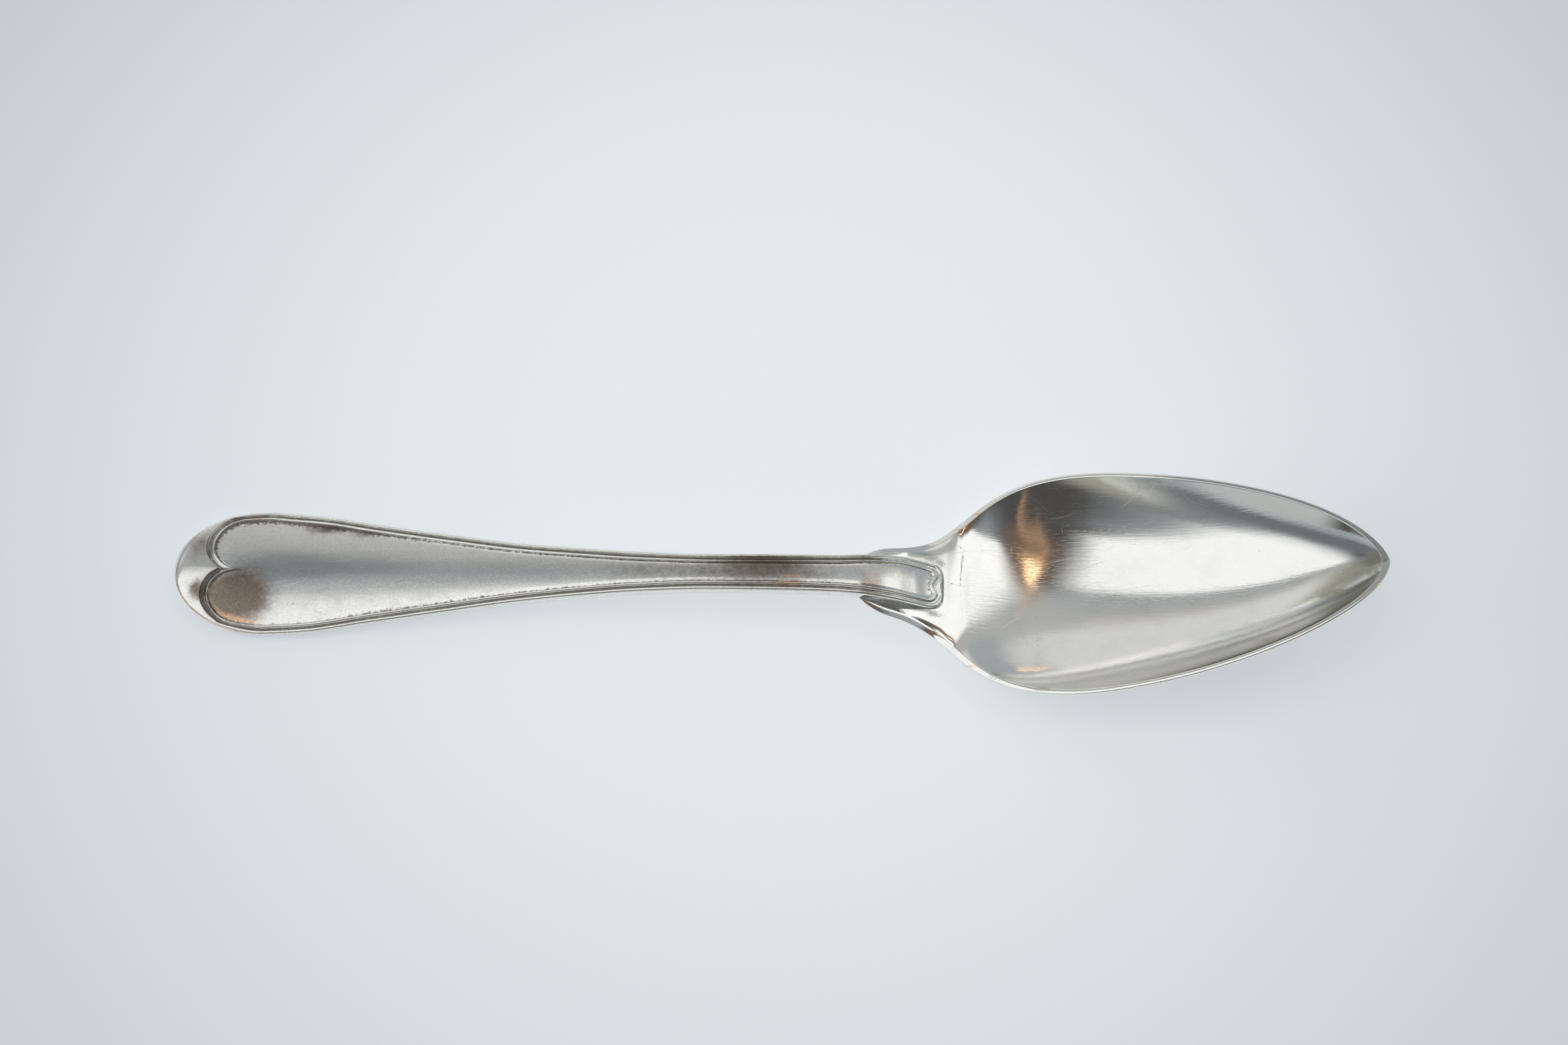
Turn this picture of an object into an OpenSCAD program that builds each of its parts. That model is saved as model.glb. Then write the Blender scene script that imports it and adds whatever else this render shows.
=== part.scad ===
// A silver tablespoon with double threads along its handle, lying as on a table.
// X runs from the end of the handle to the tip of the bowl, Z is up, the table is at Z 0.
// The handle and the bowl are two pieces: the tongue of the handle laps over the neck.

/* [Lengths] */
// Rounded end of the blade, from the very end to the widest place
end_len = 16.5; // [13:0.5:20]
// Taper of the blade, from its widest place to the narrowest of the stem
taper_len = 78.5; // [64:0.5:95]
// Slender stem, from its narrowest place to the points of the wings
stem_len = 25.5; // [18:0.5:34]
// Neck of the bowl, from the points of the wings to the heel of the hollow
neck_len = 17.5; // [15:0.5:21]
// Bare land between the end of the tongue and the heel of the hollow
land_len = 2.5; // [1.8:0.1:3.4]
// Bowl, from the heel of the hollow to the tip
bowl_len = 72; // [62:0.5:84]

/* [Widths] */
// Blade at its widest
blade_w = 24; // [20:0.5:28]
// Stem at its narrowest
stem_w = 6.9; // [6.2:0.1:7.8]
// Tongue at its widest
tongue_w = 8.8; // [8:0.1:9.8]
// Bowl at its widest, over the rim
bowl_w = 42.5; // [37:0.5:48]
// Flat top of the rim, halfway along the bowl
rim_w = 1.45; // [1.1:0.05:1.9]

/* [Heights] */
// Top of the blade above the table, which is also its thickness
blade_t = 1.75; // [1.4:0.05:2.3]
// Turned-up end of the blade: how far its very end stands over the rest
end_lift = 1.3; // [0.6:0.1:2]
// Top of the stem above the table at the points of the wings
arch_h = 9.6; // [8.4:0.1:11]
// Thickness of the stem at the points of the wings
stem_t = 3.75; // [3.2:0.05:4.3]
// Side face of the blade
blade_side = 0.9; // [0.7:0.05:1.1]
// Side face of the stem
stem_side = 1.65; // [1.4:0.05:1.9]
// Thickness of the tongue at its thin end
tongue_t = 0.6; // [0.5:0.05:0.8]
// Land at the heel of the hollow above the table
heel_h = 4.2; // [3.7:0.1:4.8]
// Rim at the tip of the bowl above the table
tip_h = 21; // [18:0.5:24]
// Outer face of the rim
rim_side = 0.9; // [0.7:0.05:1.1]
// Metal at the bottom of the bowl
bowl_t = 1.1; // [0.9:0.05:1.4]

/* [Threads] */
// Width of the thread along the edge
edge_thread_w = 0.7; // [0.6:0.05:0.8]
// Width of the groove between the two threads
groove_w = 0.4; // [0.3:0.05:0.5]
// Width of the inner thread
thread_w = 0.65; // [0.5:0.05:0.75]
// Height of both threads over the sunk face of the handle
thread_h = 0.35; // [0.25:0.05:0.45]
// Crown of the handle's face: its middle line over its edges, at the widest place
crown_h = 0.6; // [0.3:0.05:0.8]

/* [Hidden] */

// Stations along the spoon, counted from the end of the handle
widest_s = end_len;
narrow_s = widest_s + taper_len;
wing_s = narrow_s + stem_len;
heel_s = wing_s + neck_len;
tongue_s = heel_s - land_len;
tip_s = heel_s + bowl_len;

// Half widths
blade_r = blade_w / 2;
stem_r = stem_w / 2;
tongue_r = tongue_w / 2;
bowl_r = bowl_w / 2;
thread_r = thread_w / 2;

// Places of the curves below, as shares of the stretch that each one spans
taper_shares = [[0, 1], [0.1, 0.93], [0.24, 0.72], [0.43, 0.45], [0.56, 0.275],
    [0.69, 0.155], [0.84, 0.05], [1, 0]];
stem_grow_shares = [[0.35, 0.03], [0.85, 0.18]];
tongue_grow_shares = [[0, 0.42], [0.25, 0.68], [0.5, 0.92]];
rise_shares = [[0, 0], [0.07, 0], [0.14, 0.005], [0.3, 0.17], [0.47, 0.41], [0.63, 0.665],
    [0.79, 0.86], [0.92, 0.97], [1, 1]];
lift_shares = [[0, 1], [0.15, 0.83], [0.3, 0.63], [0.45, 0.42], [0.6, 0.235], [0.75, 0.1],
    [0.9, 0.02], [1, 0]];
dive_shares = [[0, 0], [0.2, 0.07], [0.42, 0.22], [0.64, 0.54], [0.83, 0.85], [1, 1]];
neck_outline_shares = [[0, 0], [0.09, 0.066], [0.25, 0.14], [0.45, 0.183], [0.6, 0.229],
    [0.72, 0.28], [0.83, 0.361], [0.94, 0.465]];
heel_outline_shares = [[0.015, 0.58], [0.042, 0.68], [0.07, 0.76], [0.11, 0.858],
    [0.16, 0.928], [0.22, 0.98], [0.285, 1]];
neck_rim_shares = [[0, 1.04], [0.2, 0.86], [0.37, 0.68], [0.54, 0.45], [0.71, 0.18],
    [0.88, 0.04]];
bowl_rim_shares = [[0.01, 0.003], [0.05, 0.043], [0.11, 0.118], [0.2, 0.223], [0.3, 0.326],
    [0.4, 0.431], [0.5, 0.54], [0.65, 0.705], [0.8, 0.865], [0.9, 0.95], [1, 1]];
neck_facet_shares = [[0, 0.1], [0.1, 0.7], [0.26, 1.2], [0.48, 1.55], [0.72, 1.55],
    [0.88, 1.45]];
bowl_facet_shares = [[0.014, 1.38], [0.04, 1.28], [0.1, 1.1], [0.18, 1], [0.5, 1],
    [0.85, 0.85], [1, 0.75]];
keel_shares = [[0, 1], [0.11, 0.88], [0.24, 0.65], [0.367, 0.41], [0.49, 0.22], [0.62, 0.095],
    [0.75, 0.03], [0.88, 0.005], [1, 0]];
heart_shares = [[0.485, 0], [0.43, 0.05], [0.376, 0.125], [0.333, 0.233], [0.318, 0.333],
    [0.318, 0.442], [0.34, 0.55], [0.379, 0.642], [0.442, 0.737], [0.51, 0.808]];
heart_thread_shares = [[0.6, 0], [0.536, 0.033], [0.479, 0.092], [0.421, 0.183],
    [0.388, 0.275], [0.379, 0.396], [0.394, 0.5], [0.424, 0.592], [0.473, 0.683],
    [0.54, 0.762]];
brace_shares = [[0.6, 0.92], [0.78, 0.83], [0.83, 0.68], [0.855, 0.5], [0.845, 0.3],
    [0.8, 0.12], [0.72, 0]];
brace_thread_shares = [[0.45, 0.78], [0.62, 0.68], [0.68, 0.58], [0.7, 0.46], [0.69, 0.3],
    [0.64, 0.13], [0.55, 0]];

// Shares of the length of the bowl and of its stretches
bowl_widest_share = 0.285;
deepest_share = 0.305;
land_end_share = 0.1;
fore_share = 0.72;
probe_share = 0.002;

// How round the bowl is across and along, and the two powers of its leaf-shaped outline
dish_share = 0.55;
keel_dish_share = 0.6;
leaf_power = 1.7;
leaf_root = 0.6;
narrow_crest_share = 0.35;

function lerp(a, b, f) = a + (b - a) * f;
function last(v) = v[len(v) - 1];

// The two places that touch the table, the belly and the back of the blade, are worn flat
wear_share = 0.08;
wear = wear_share * bowl_t;
function worn(z) = z < 2 * wear ? max(0, 2 * (z - wear)) : z;

// Smooth curve through a table of places, with the slope at each place taken from its neighbours
function find(t, x, i = 0) = i >= len(t) - 2 || x < t[i + 1][0] ? i : find(t, x, i + 1);
function rise(t, i) = (t[i + 1][1] - t[i][1]) / (t[i + 1][0] - t[i][0]);
function slope(t, i) =
    i <= 0 ? rise(t, 0) :
    i >= len(t) - 1 ? rise(t, len(t) - 2) :
    let (a = rise(t, i - 1), b = rise(t, i))
    a * b <= 0 ? 0 : 2 * a * b / (a + b);
function curve(t, x) =
    let (i = find(t, x), w = t[i + 1][0] - t[i][0], f = min(1, max(0, (x - t[i][0]) / w)),
        a = t[i][1], b = t[i + 1][1], ma = slope(t, i) * w, mb = slope(t, i + 1) * w)
    (2 * f ^ 3 - 3 * f ^ 2 + 1) * a + (f ^ 3 - 2 * f ^ 2 + f) * ma
    + (3 * f ^ 2 - 2 * f ^ 3) * b + (f ^ 3 - f ^ 2) * mb;
function stretch(shares, s0, ds, z0, dz) = [for (p = shares) [s0 + p[0] * ds, z0 + p[1] * dz]];

// Outline of the handle: half its width at station s
wing_r = lerp(stem_r, tongue_r, tongue_grow_shares[0][1]);
round_share = 0.7;
round_s = lerp(wing_s, tongue_s, round_share);
handle_outline = concat(
    stretch(taper_shares, widest_s, taper_len, stem_r, blade_r - stem_r),
    stretch(stem_grow_shares, narrow_s, stem_len, stem_r, tongue_r - stem_r),
    stretch(tongue_grow_shares, wing_s, tongue_s - wing_s, stem_r, tongue_r - stem_r),
    [[round_s, tongue_r], [tongue_s, tongue_r]]);
function handle_r(s) =
    s < widest_s ? blade_r * sqrt(max(0, 1 - ((widest_s - s) / end_len) ^ 2)) :
    s > round_s ? tongue_r * sqrt(max(0, 1 - ((s - round_s) / (tongue_s - round_s)) ^ 4)) :
    curve(handle_outline, s);

// The lap: a flat scarf that falls from the points of the wings to the heel
scarf_h = arch_h - stem_side;
scarf_slope = (heel_h - scarf_h) / neck_len;
function scarf(s) = scarf_h + scarf_slope * (s - wing_s);

// Top face of the handle, at the height of its threads along the edges
face_line = concat(
    stretch(rise_shares, 0, wing_s, blade_t, arch_h - blade_t),
    stretch([for (i = [1:len(dive_shares) - 1]) dive_shares[i]], wing_s, tongue_s - wing_s,
        arch_h, scarf(tongue_s) + tongue_t - arch_h));
lift_line = stretch(lift_shares, 0, end_len, 0, end_lift);
function face(s) = curve(face_line, s) + (s < end_len ? curve(lift_line, s) : 0);
function crown(s, t) =
    let (r = max(handle_r(s), wear)) crown_h * r / blade_r * max(0, 1 - (t / r) ^ 2);

// Side face and back of the handle
mid_s = (widest_s + narrow_s) / 2;
mid_side_share = 0.55;
mid_thick_share = 0.35;
narrow_thick_share = 0.8;
side_line = [[0, blade_side], [widest_s, blade_side],
    [mid_s, lerp(blade_side, stem_side, mid_side_share)], [narrow_s, stem_side], [wing_s, stem_side]];
thick_line = [[0, blade_side], [widest_s, blade_t],
    [mid_s, lerp(blade_t, stem_t, mid_thick_share)],
    [narrow_s, lerp(blade_t, stem_t, narrow_thick_share)], [wing_s, stem_t]];
function side(s) = curve(side_line, s);
function back(s) = face(s) - curve(thick_line, s);

// Outline of the bowl and its wings
widest_bowl_s = heel_s + bowl_widest_share * bowl_len;
bowl_outline = concat(
    stretch(neck_outline_shares, wing_s, neck_len, wing_r, bowl_r - wing_r),
    stretch(heel_outline_shares, heel_s, bowl_len, wing_r, bowl_r - wing_r));
function leaf(s, tip, r) =
    r * max(0, 1 - ((s - widest_bowl_s) / (tip - widest_bowl_s)) ^ leaf_power) ^ leaf_root;
function outline_r(s) = s < widest_bowl_s ? curve(bowl_outline, s) : leaf(s, tip_s, bowl_r);

// Height of the top of the rim, and the width of its flat top square to the outline
rim_line = concat(
    stretch(neck_rim_shares, wing_s, neck_len, heel_h, scarf_h - heel_h),
    stretch(bowl_rim_shares, heel_s, bowl_len, heel_h, tip_h - heel_h));
function rim(s) = curve(rim_line, s);
facet_line = concat(
    stretch(neck_facet_shares, wing_s, neck_len, 0, rim_w),
    stretch(bowl_facet_shares, heel_s, bowl_len, 0, rim_w));
probe = probe_share * bowl_len;
steepest = 3;
lip_share = 0.97;
inner_tip_s = tip_s - last(bowl_facet_shares)[1] * rim_w;
function lean(s) = (outline_r(s + probe) - outline_r(s - probe)) / (2 * probe);
function crest_r(s) =
    let (w = outline_r(s), f = curve(facet_line, s) * sqrt(1 + min(steepest, abs(lean(s))) ^ 2))
    s < tongue_s ? min(lip_share * w, max(w - f, handle_r(min(s, round_s)))) :
    s < widest_bowl_s ? w - f :
    max(leaf(s, inner_tip_s, bowl_r - rim_w), narrow_crest_share * w);

// Lowest line of the bowl outside and inside
deep_s = heel_s + deepest_share * bowl_len;
keel_line = stretch(keel_shares, wing_s, deep_s - wing_s, 0, back(wing_s));
function dish(r, share) = share * r ^ 2 + (1 - share) * r ^ 4;
function keel(s) =
    s < deep_s ? curve(keel_line, s) :
    (tip_h - rim_side) * dish((s - deep_s) / (tip_s - deep_s), keel_dish_share);
function floor_h(s) = bowl_t + (
    s < deep_s ? (heel_h - bowl_t) * dish((deep_s - s) / (deep_s - heel_s), keel_dish_share) :
    (tip_h - bowl_t) * dish((s - deep_s) / (inner_tip_s - deep_s), keel_dish_share));

// Top of the bowl at station s and half width t, inside the crest of the rim
seat_r = tongue_r;
function seat_edge(s) = min(seat_r, lip_share * crest_r(s), s < round_s ? handle_r(s) : seat_r);
function neck_top(s, t) =
    let (e = seat_edge(s), c = crest_r(s))
    t <= e ? scarf(s) : lerp(scarf(s), rim(s), (t - e) / max(c - e, probe));
land_end_s = heel_s + land_end_share * bowl_len;
function hollow(s, t) = lerp(min(floor_h(s), rim(s)), rim(s), dish(t / crest_r(s), dish_share));
function soft_min(a, b, k) =
    let (h = max(k - abs(a - b), 0)) min(a, b) - h * h / (4 * max(k, probe));
function bowl_top(s, t) =
    s < tongue_s ? neck_top(s, t) :
    s > land_end_s ? hollow(s, t) :
    soft_min(neck_top(s, t), hollow(s, t), tongue_t / 2 * (1 - (t / crest_r(s)) ^ 2));
full_edge_share = 0.3;
edge_line = [[wing_s, rim_side / 3], [lerp(wing_s, heel_s, full_edge_share), rim_side],
    [tip_s, rim_side]];
function bowl_edge(s) = min(curve(edge_line, s), max(rim(s) - keel(s), rim_side / 3));
function bowl_back(s, t) =
    worn(lerp(keel(s), rim(s) - bowl_edge(s), dish(t / outline_r(s), dish_share)));

// Closed skin over rings of points, with a flat cap at each end
module skin(rings) {
    n = len(rings[0]);
    m = len(rings);
    points = [for (r = rings) each r];
    sides = [for (j = [0:m - 2], i = [0:n - 1])
        let (a = j * n + i, b = j * n + (i + 1) % n)
        each [[a, b + n, b], [a, a + n, b + n]]];
    ends = [[for (i = [0:n - 1]) i], [for (i = [n - 1:-1:0]) (m - 1) * n + i]];
    polyhedron(points, concat(sides, ends), convexity = 8);
}

function at(s, t, z) = [s - tip_s / 2, t, z];

row_shares = [1, 0.94, 0.86, 0.75, 0.62, 0.48, 0.33, 0.16];
back_shares = [0.08, 0.2, 0.34, 0.5, 0.66, 0.8, 0.92];
seat_row_shares = [1, 0.75, 0.5, 0.3, 0.15];
function top_rows(s) =
    let (c = crest_r(s), e = seat_edge(s))
    s < tongue_s ? concat([for (f = [0:2]) lerp(c, e, f / 3)], [for (f = seat_row_shares) f * e]) :
    [for (f = row_shares) f * c];
chamfer_share = 0.28;
slim_share = 0.1;
function bowl_ring(s) =
    let (w = outline_r(s), e = bowl_edge(s), z = rim(s), g = e * chamfer_share,
        gw = min(g, slim_share * w), rows = top_rows(s), n = len(rows))
    concat(
        [at(s, w, z - e), at(s, w, z - g), at(s, w - gw, z)],
        [for (t = rows) at(s, t, bowl_top(s, t))],
        [at(s, 0, bowl_top(s, 0))],
        [for (i = [n - 1:-1:0]) at(s, -rows[i], bowl_top(s, rows[i]))],
        [at(s, gw - w, z), at(s, -w, z - g), at(s, -w, z - e)],
        [for (i = [len(back_shares) - 1:-1:0])
            let (t = w * back_shares[i]) at(s, -t, bowl_back(s, t))],
        [at(s, 0, bowl_back(s, 0))],
        [for (f = back_shares) at(s, f * w, bowl_back(s, f * w))]);

// Stations of the rings, close together over the land and towards the tip
neck_n = 8;
heel_n = 10;
floor_n = 16;
tip_n = 15;
tip_angle = 87;
slope_end_s = heel_s + land_len;
fore_s = heel_s + fore_share * bowl_len;
module bowl() {
    stations = concat(
        [for (i = [0:neck_n]) lerp(wing_s, tongue_s, i / neck_n)],
        [for (i = [1:heel_n]) lerp(tongue_s, slope_end_s, i / heel_n)],
        [for (i = [1:floor_n]) lerp(slope_end_s, fore_s, i / floor_n)],
        [for (i = [1:tip_n]) lerp(fore_s, tip_s, sin(tip_angle * i / tip_n))]);
    color("silver") skin([for (s = stations) bowl_ring(s)]);
}

// Sunk face of the handle and its underside: its own back, and the scarf beyond the wings
function face_low(s, t) = face(s) + crown(s, t) - thread_h;
function edge_low(s) = s < wing_s ? face(s) - side(s) : scarf(s);
function back_low(s, f) = worn(lerp(back(s), face(s) - side(s), f ^ 2));

// Smooth path through a few points of an outline, each stretch cut into n
function nudge(p, i) =
    i <= 0 ? p[1] - p[0] : i >= len(p) - 1 ? p[i] - p[i - 1] : (p[i + 1] - p[i - 1]) / 2;
function through(p, n) = concat(
    [for (i = [0:len(p) - 2], k = [0:n - 1]) let (f = k / n)
        (2 * f ^ 3 - 3 * f ^ 2 + 1) * p[i] + (f ^ 3 - 2 * f ^ 2 + f) * nudge(p, i)
        + (3 * f ^ 2 - 2 * f ^ 3) * p[i + 1] + (f ^ 3 - f ^ 2) * nudge(p, i + 1)],
    [last(p)]);

// Paths on the upper half of the handle, from the cusp of the heart to the cusp of the brace
end_side_shares = [0.6, 0.68, 0.78, 0.9];
past_end_share = 1.125;
taper_n = 15;
stem_n = 6;
grow_n = 5;
side_s = concat(
    [for (f = end_side_shares) f * end_len],
    [for (i = [0:taper_n]) lerp(past_end_share * end_len, narrow_s, i / taper_n)],
    [for (i = [1:stem_n]) lerp(narrow_s, wing_s, i / stem_n)],
    [for (i = [1:grow_n]) lerp(wing_s, round_s, i / grow_n)]);
brace_len = tongue_s - round_s;
cuts = 2;
heart_n = (len(heart_shares) - 1) * cuts + 1;
brace_n = (len(brace_shares) - 1) * cuts + 1;
half_n = heart_n + len(side_s) + brace_n;
whole_n = 2 * half_n - 2;
wing_i = heart_n + len(end_side_shares) + taper_n + stem_n;
function half_path(heart, in, brace) = concat(
    through([for (p = heart) [p[0] * end_len, p[1] * blade_r]], cuts),
    [for (s = side_s) [s, handle_r(s) - in]],
    through([for (p = brace) [round_s + p[0] * brace_len, p[1] * (tongue_r - edge_thread_w)]], cuts));
end_angle = 50;
tongue_power = 1.6;
function around_end(f) = let (a = end_angle * f) [end_len * (1 - cos(a)), blade_r * sin(a)];
function around_tongue(f) = let (t = tongue_r * (1 - f ^ tongue_power))
    [round_s + brace_len * (1 - (t / tongue_r) ^ 2) ^ 0.25, t];
outline_half = concat(
    [for (i = [0:heart_n - 1]) around_end(i / (heart_n - 1))],
    [for (s = side_s) [s, handle_r(s)]],
    [for (i = [1:brace_n]) around_tongue(i / brace_n)]);
function mirrored(path) = [for (i = [len(path) - 2:-1:1]) [path[i][0], -path[i][1]]];
function whole(path) = concat(path, mirrored(path));
outline_path = whole(outline_half);
edge_path = whole(half_path(heart_shares, edge_thread_w, brace_shares));
thread_in = edge_thread_w + groove_w + thread_r;
thread_path = whole(half_path(heart_thread_shares, thread_in, brace_thread_shares));

// Half the width of the inner thread at each turn of its path, mitred at the cusps
mitre_share = 0.8;
function unit(v) = v / norm(v);
function across(path, i) =
    let (n = len(path), a = unit(path[i] - path[(i + n - 1) % n]),
        b = unit(path[(i + 1) % n] - path[i]), d = unit(a + b))
    [-d[1], d[0]] * thread_r / max(mitre_share, norm(a + b) / 2);

// Section of both threads, from the outline inwards, as [share of the width, share of the height]
edge_profile_shares = [[0, 0.3], [0.16, 0.82], [0.45, 1], [0.78, 0.92], [0.94, 0.5], [1, 0]];
thread_profile_shares = [[-1, 0], [-0.8, 0.6], [-0.3, 0.97], [0.3, 0.97], [0.8, 0.6], [1, 0]];
function raised(q, share) = at(q[0], q[1], face_low(q[0], q[1]) + share * thread_h);
function edge_row(f) = [for (i = [0:whole_n - 1])
    raised(lerp(outline_path[i], edge_path[i], f[0]), f[1])];
function thread_row(f) = [for (i = [0:whole_n - 1])
    raised(thread_path[i] - f[0] * across(thread_path, i), f[1])];
rows = concat(
    [[for (q = outline_path) at(q[0], q[1], edge_low(q[0]))]],
    [for (f = edge_profile_shares) edge_row(f)],
    [for (f = thread_profile_shares) thread_row(f)]);
row_n = len(rows);
function id(r, i) = r * whole_n + (i + whole_n) % whole_n;
function across_id(r, i) = id(r, whole_n - i);

// Middle of the sunk face, and the underside in strips across the handle
middle_i = [for (i = [heart_n + 2:half_n - brace_n - 1]) i];
low_shares = [0.8, 0.55, 0.28, 0, -0.28, -0.55, -0.8];
low_n = len(low_shares);
middle_0 = row_n * whole_n;
back_0 = middle_0 + len(middle_i);
lap_0 = back_0 + wing_i * low_n;
function middle_id(i) = middle_0 + i - middle_i[0];
function low_strip(i, j0, j) = concat([id(0, i)], [for (k = [0:low_n - 1]) j0 + j * low_n + k],
    [across_id(0, i)]);
function back_strip(i) = low_strip(i, back_0, i - 1);
function lap_strip(i) = low_strip(i, lap_0, i - wing_i);
function pair(a, b) = [for (k = [0:len(a) - 2])
    each [[a[k], a[k + 1], b[k]], [b[k], a[k + 1], b[k + 1]]]];
function fan(tip, a, flip) = [for (k = [0:len(a) - 2])
    flip ? [tip, a[k], a[k + 1]] : [tip, a[k + 1], a[k]]];

// Short upright face between two strips that share their ends
function butt(a, b) = concat(
    [[a[0], a[1], b[1]]],
    [for (k = [1:low_n - 1]) each [[a[k], a[k + 1], b[k + 1]], [a[k], b[k + 1], b[k]]]],
    [[a[low_n], a[low_n + 1], b[low_n]]]);

module handle() {
    points = concat(
        [for (r = rows) each r],
        [for (i = middle_i) raised([outline_half[i][0], 0], 0)],
        [for (i = [1:wing_i]) let (s = outline_half[i][0])
            each [for (f = low_shares) at(s, f * outline_half[i][1], back_low(s, f))]],
        [for (i = [wing_i:half_n - 2]) let (s = outline_half[i][0])
            each [for (f = low_shares) at(s, f * outline_half[i][1], scarf(s))]]);
    last_r = row_n - 1;
    around = [for (r = [0:row_n - 2], i = [0:whole_n - 1])
        each [[id(r, i), id(r, i + 1), id(r + 1, i + 1)],
            [id(r, i), id(r + 1, i + 1), id(r + 1, i)]]];
    // The sunk face is sewn up across each lobe of the heart and the brace, then along the middle
    function lobe(a, b) = [for (k = [0:floor((b - a) / 2) - 1])
        let (p = a + k, q = b - k)
        each q - p > 2 ? [[p, p + 1, q - 1], [p, q - 1, q]] : [[p, p + 1, q]]];
    first_m = middle_i[0];
    last_m = last(middle_i);
    end_i = half_n - 1;
    upper = concat(
        lobe(0, first_m),
        lobe(last_m, end_i));
    function flip(i) = whole_n - i;
    face_sides = concat(
        [for (f = upper) [for (i = f) id(last_r, i)]],
        [for (f = upper) [for (i = [2, 1, 0]) id(last_r, flip(f[i]))]],
        [for (i = [first_m:last_m - 1]) each [
            [middle_id(i), id(last_r, i), id(last_r, i + 1)],
            [middle_id(i), id(last_r, i + 1), middle_id(i + 1)],
            [middle_id(i), id(last_r, flip(i + 1)), id(last_r, flip(i))],
            [middle_id(i), middle_id(i + 1), id(last_r, flip(i + 1))]]],
        [[id(last_r, 0), id(last_r, first_m), middle_id(first_m)],
        [id(last_r, 0), middle_id(first_m), id(last_r, flip(first_m))],
        [middle_id(last_m), id(last_r, last_m), id(last_r, end_i)],
        [middle_id(last_m), id(last_r, end_i), id(last_r, flip(last_m))]]);
    low = concat(
        fan(id(0, 0), back_strip(1), false),
        [for (i = [1:wing_i - 1]) each pair(back_strip(i), back_strip(i + 1))],
        butt(back_strip(wing_i), lap_strip(wing_i)),
        [for (i = [wing_i:half_n - 3]) each pair(lap_strip(i), lap_strip(i + 1))],
        fan(id(0, end_i), lap_strip(half_n - 2), true));
    color("gainsboro") polyhedron(points, concat(around, face_sides, low), convexity = 8);
}

bowl();
handle();
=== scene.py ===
# %% [markdown]
# # A worn silver table spoon
# The spoon lies bowl-up on a pale table. It is made of two pieces of silver: the bowl with its
# neck and wings, and the handle, whose tongue is soldered over the neck. The frame, with every
# size that matters, comes from the CAD model. Here each piece gets a smooth skin of the same
# shape, its finish, and light to show them in.

# %% Load the frame
import math
import bpy
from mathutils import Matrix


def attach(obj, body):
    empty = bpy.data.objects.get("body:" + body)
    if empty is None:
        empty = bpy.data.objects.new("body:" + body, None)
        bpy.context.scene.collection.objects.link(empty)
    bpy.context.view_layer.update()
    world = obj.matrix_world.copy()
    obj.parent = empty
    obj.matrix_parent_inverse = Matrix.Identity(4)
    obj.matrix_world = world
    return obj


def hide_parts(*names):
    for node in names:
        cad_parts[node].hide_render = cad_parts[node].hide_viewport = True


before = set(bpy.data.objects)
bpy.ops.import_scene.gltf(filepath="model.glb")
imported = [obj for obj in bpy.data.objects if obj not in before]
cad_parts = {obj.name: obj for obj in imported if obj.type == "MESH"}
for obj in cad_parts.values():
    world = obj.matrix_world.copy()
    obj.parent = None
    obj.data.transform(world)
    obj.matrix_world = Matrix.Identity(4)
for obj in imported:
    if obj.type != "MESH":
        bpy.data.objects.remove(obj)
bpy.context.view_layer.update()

bpy.ops.object.select_all(action="DESELECT")

# %% [markdown]
# ## Reading a shape off a few stations
# A silversmith checks a spoon with a handful of templates held across it. The same is done
# here: a short table gives a width or a height at a few stations, and a curve joins them. The
# curve must not swing past its own points, or mirror-bright silver would show the ripple, so
# the slope at each point is the harmonic mean of its two neighbours. Small corners that are
# still left where two tables meet are averaged out.

# %% A curve through a table
def hermite(f, start, leaving, end, arriving):
    """From start to end as f goes from 0 to 1, with the slopes on leaving and on arriving."""
    return ((2 * f**3 - 3 * f**2 + 1) * start + (f**3 - 2 * f**2 + f) * leaving
            + (3 * f**2 - 2 * f**3) * end + (f**3 - f**2) * arriving)


def slopes_of(table):
    rises = [(b[1] - a[1]) / (b[0] - a[0]) for a, b in zip(table, table[1:])]
    inner = [0 if p * q <= 0 else 2 * p * q / (p + q) for p, q in zip(rises, rises[1:])]
    return [rises[0]] + inner + [rises[-1]]


def curve(table):
    """A smooth function through the points of a table."""
    slopes = slopes_of(table)

    def at(x):
        i = 0
        while i < len(table) - 2 and x >= table[i + 1][0]:
            i += 1
        (x0, y0), (x1, y1) = table[i], table[i + 1]
        w = x1 - x0
        return hermite(min(1, max(0, (x - x0) / w)), y0, slopes[i] * w, y1, slopes[i + 1] * w)
    return at


def stretch(shares, s0, length, z0, rise):
    """Shares of a length and of a rise, made into stations and sizes."""
    return [(s0 + a * length, z0 + b * rise) for a, b in shares]


def lerp(a, b, f):
    return a + (b - a) * f


def evened(f, s0, s1, reach):
    """The same curve with its small corners averaged out between two stations."""
    fade, each_side = 6, 4
    shifts = [k / each_side for k in range(-each_side, each_side + 1)]

    def mean(s):
        window = reach * ease(min(s - s0, s1 - s) / fade)
        return sum(f(s + window * shift) for shift in shifts) / len(shifts)

    inner = curve([(s0 + i, mean(s0 + i)) for i in range(round(s1 - s0) + 1)])
    return lambda s: inner(s) if s0 < s < s1 else f(s)


def ease(f):
    f = min(1, max(0, f))
    return f * f * (3 - 2 * f)


print("a curve through (0, 0), (1, 2), (3, 3) passes", round(curve([(0, 0), (1, 2), (3, 3)])(2), 3), "at 2")

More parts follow.
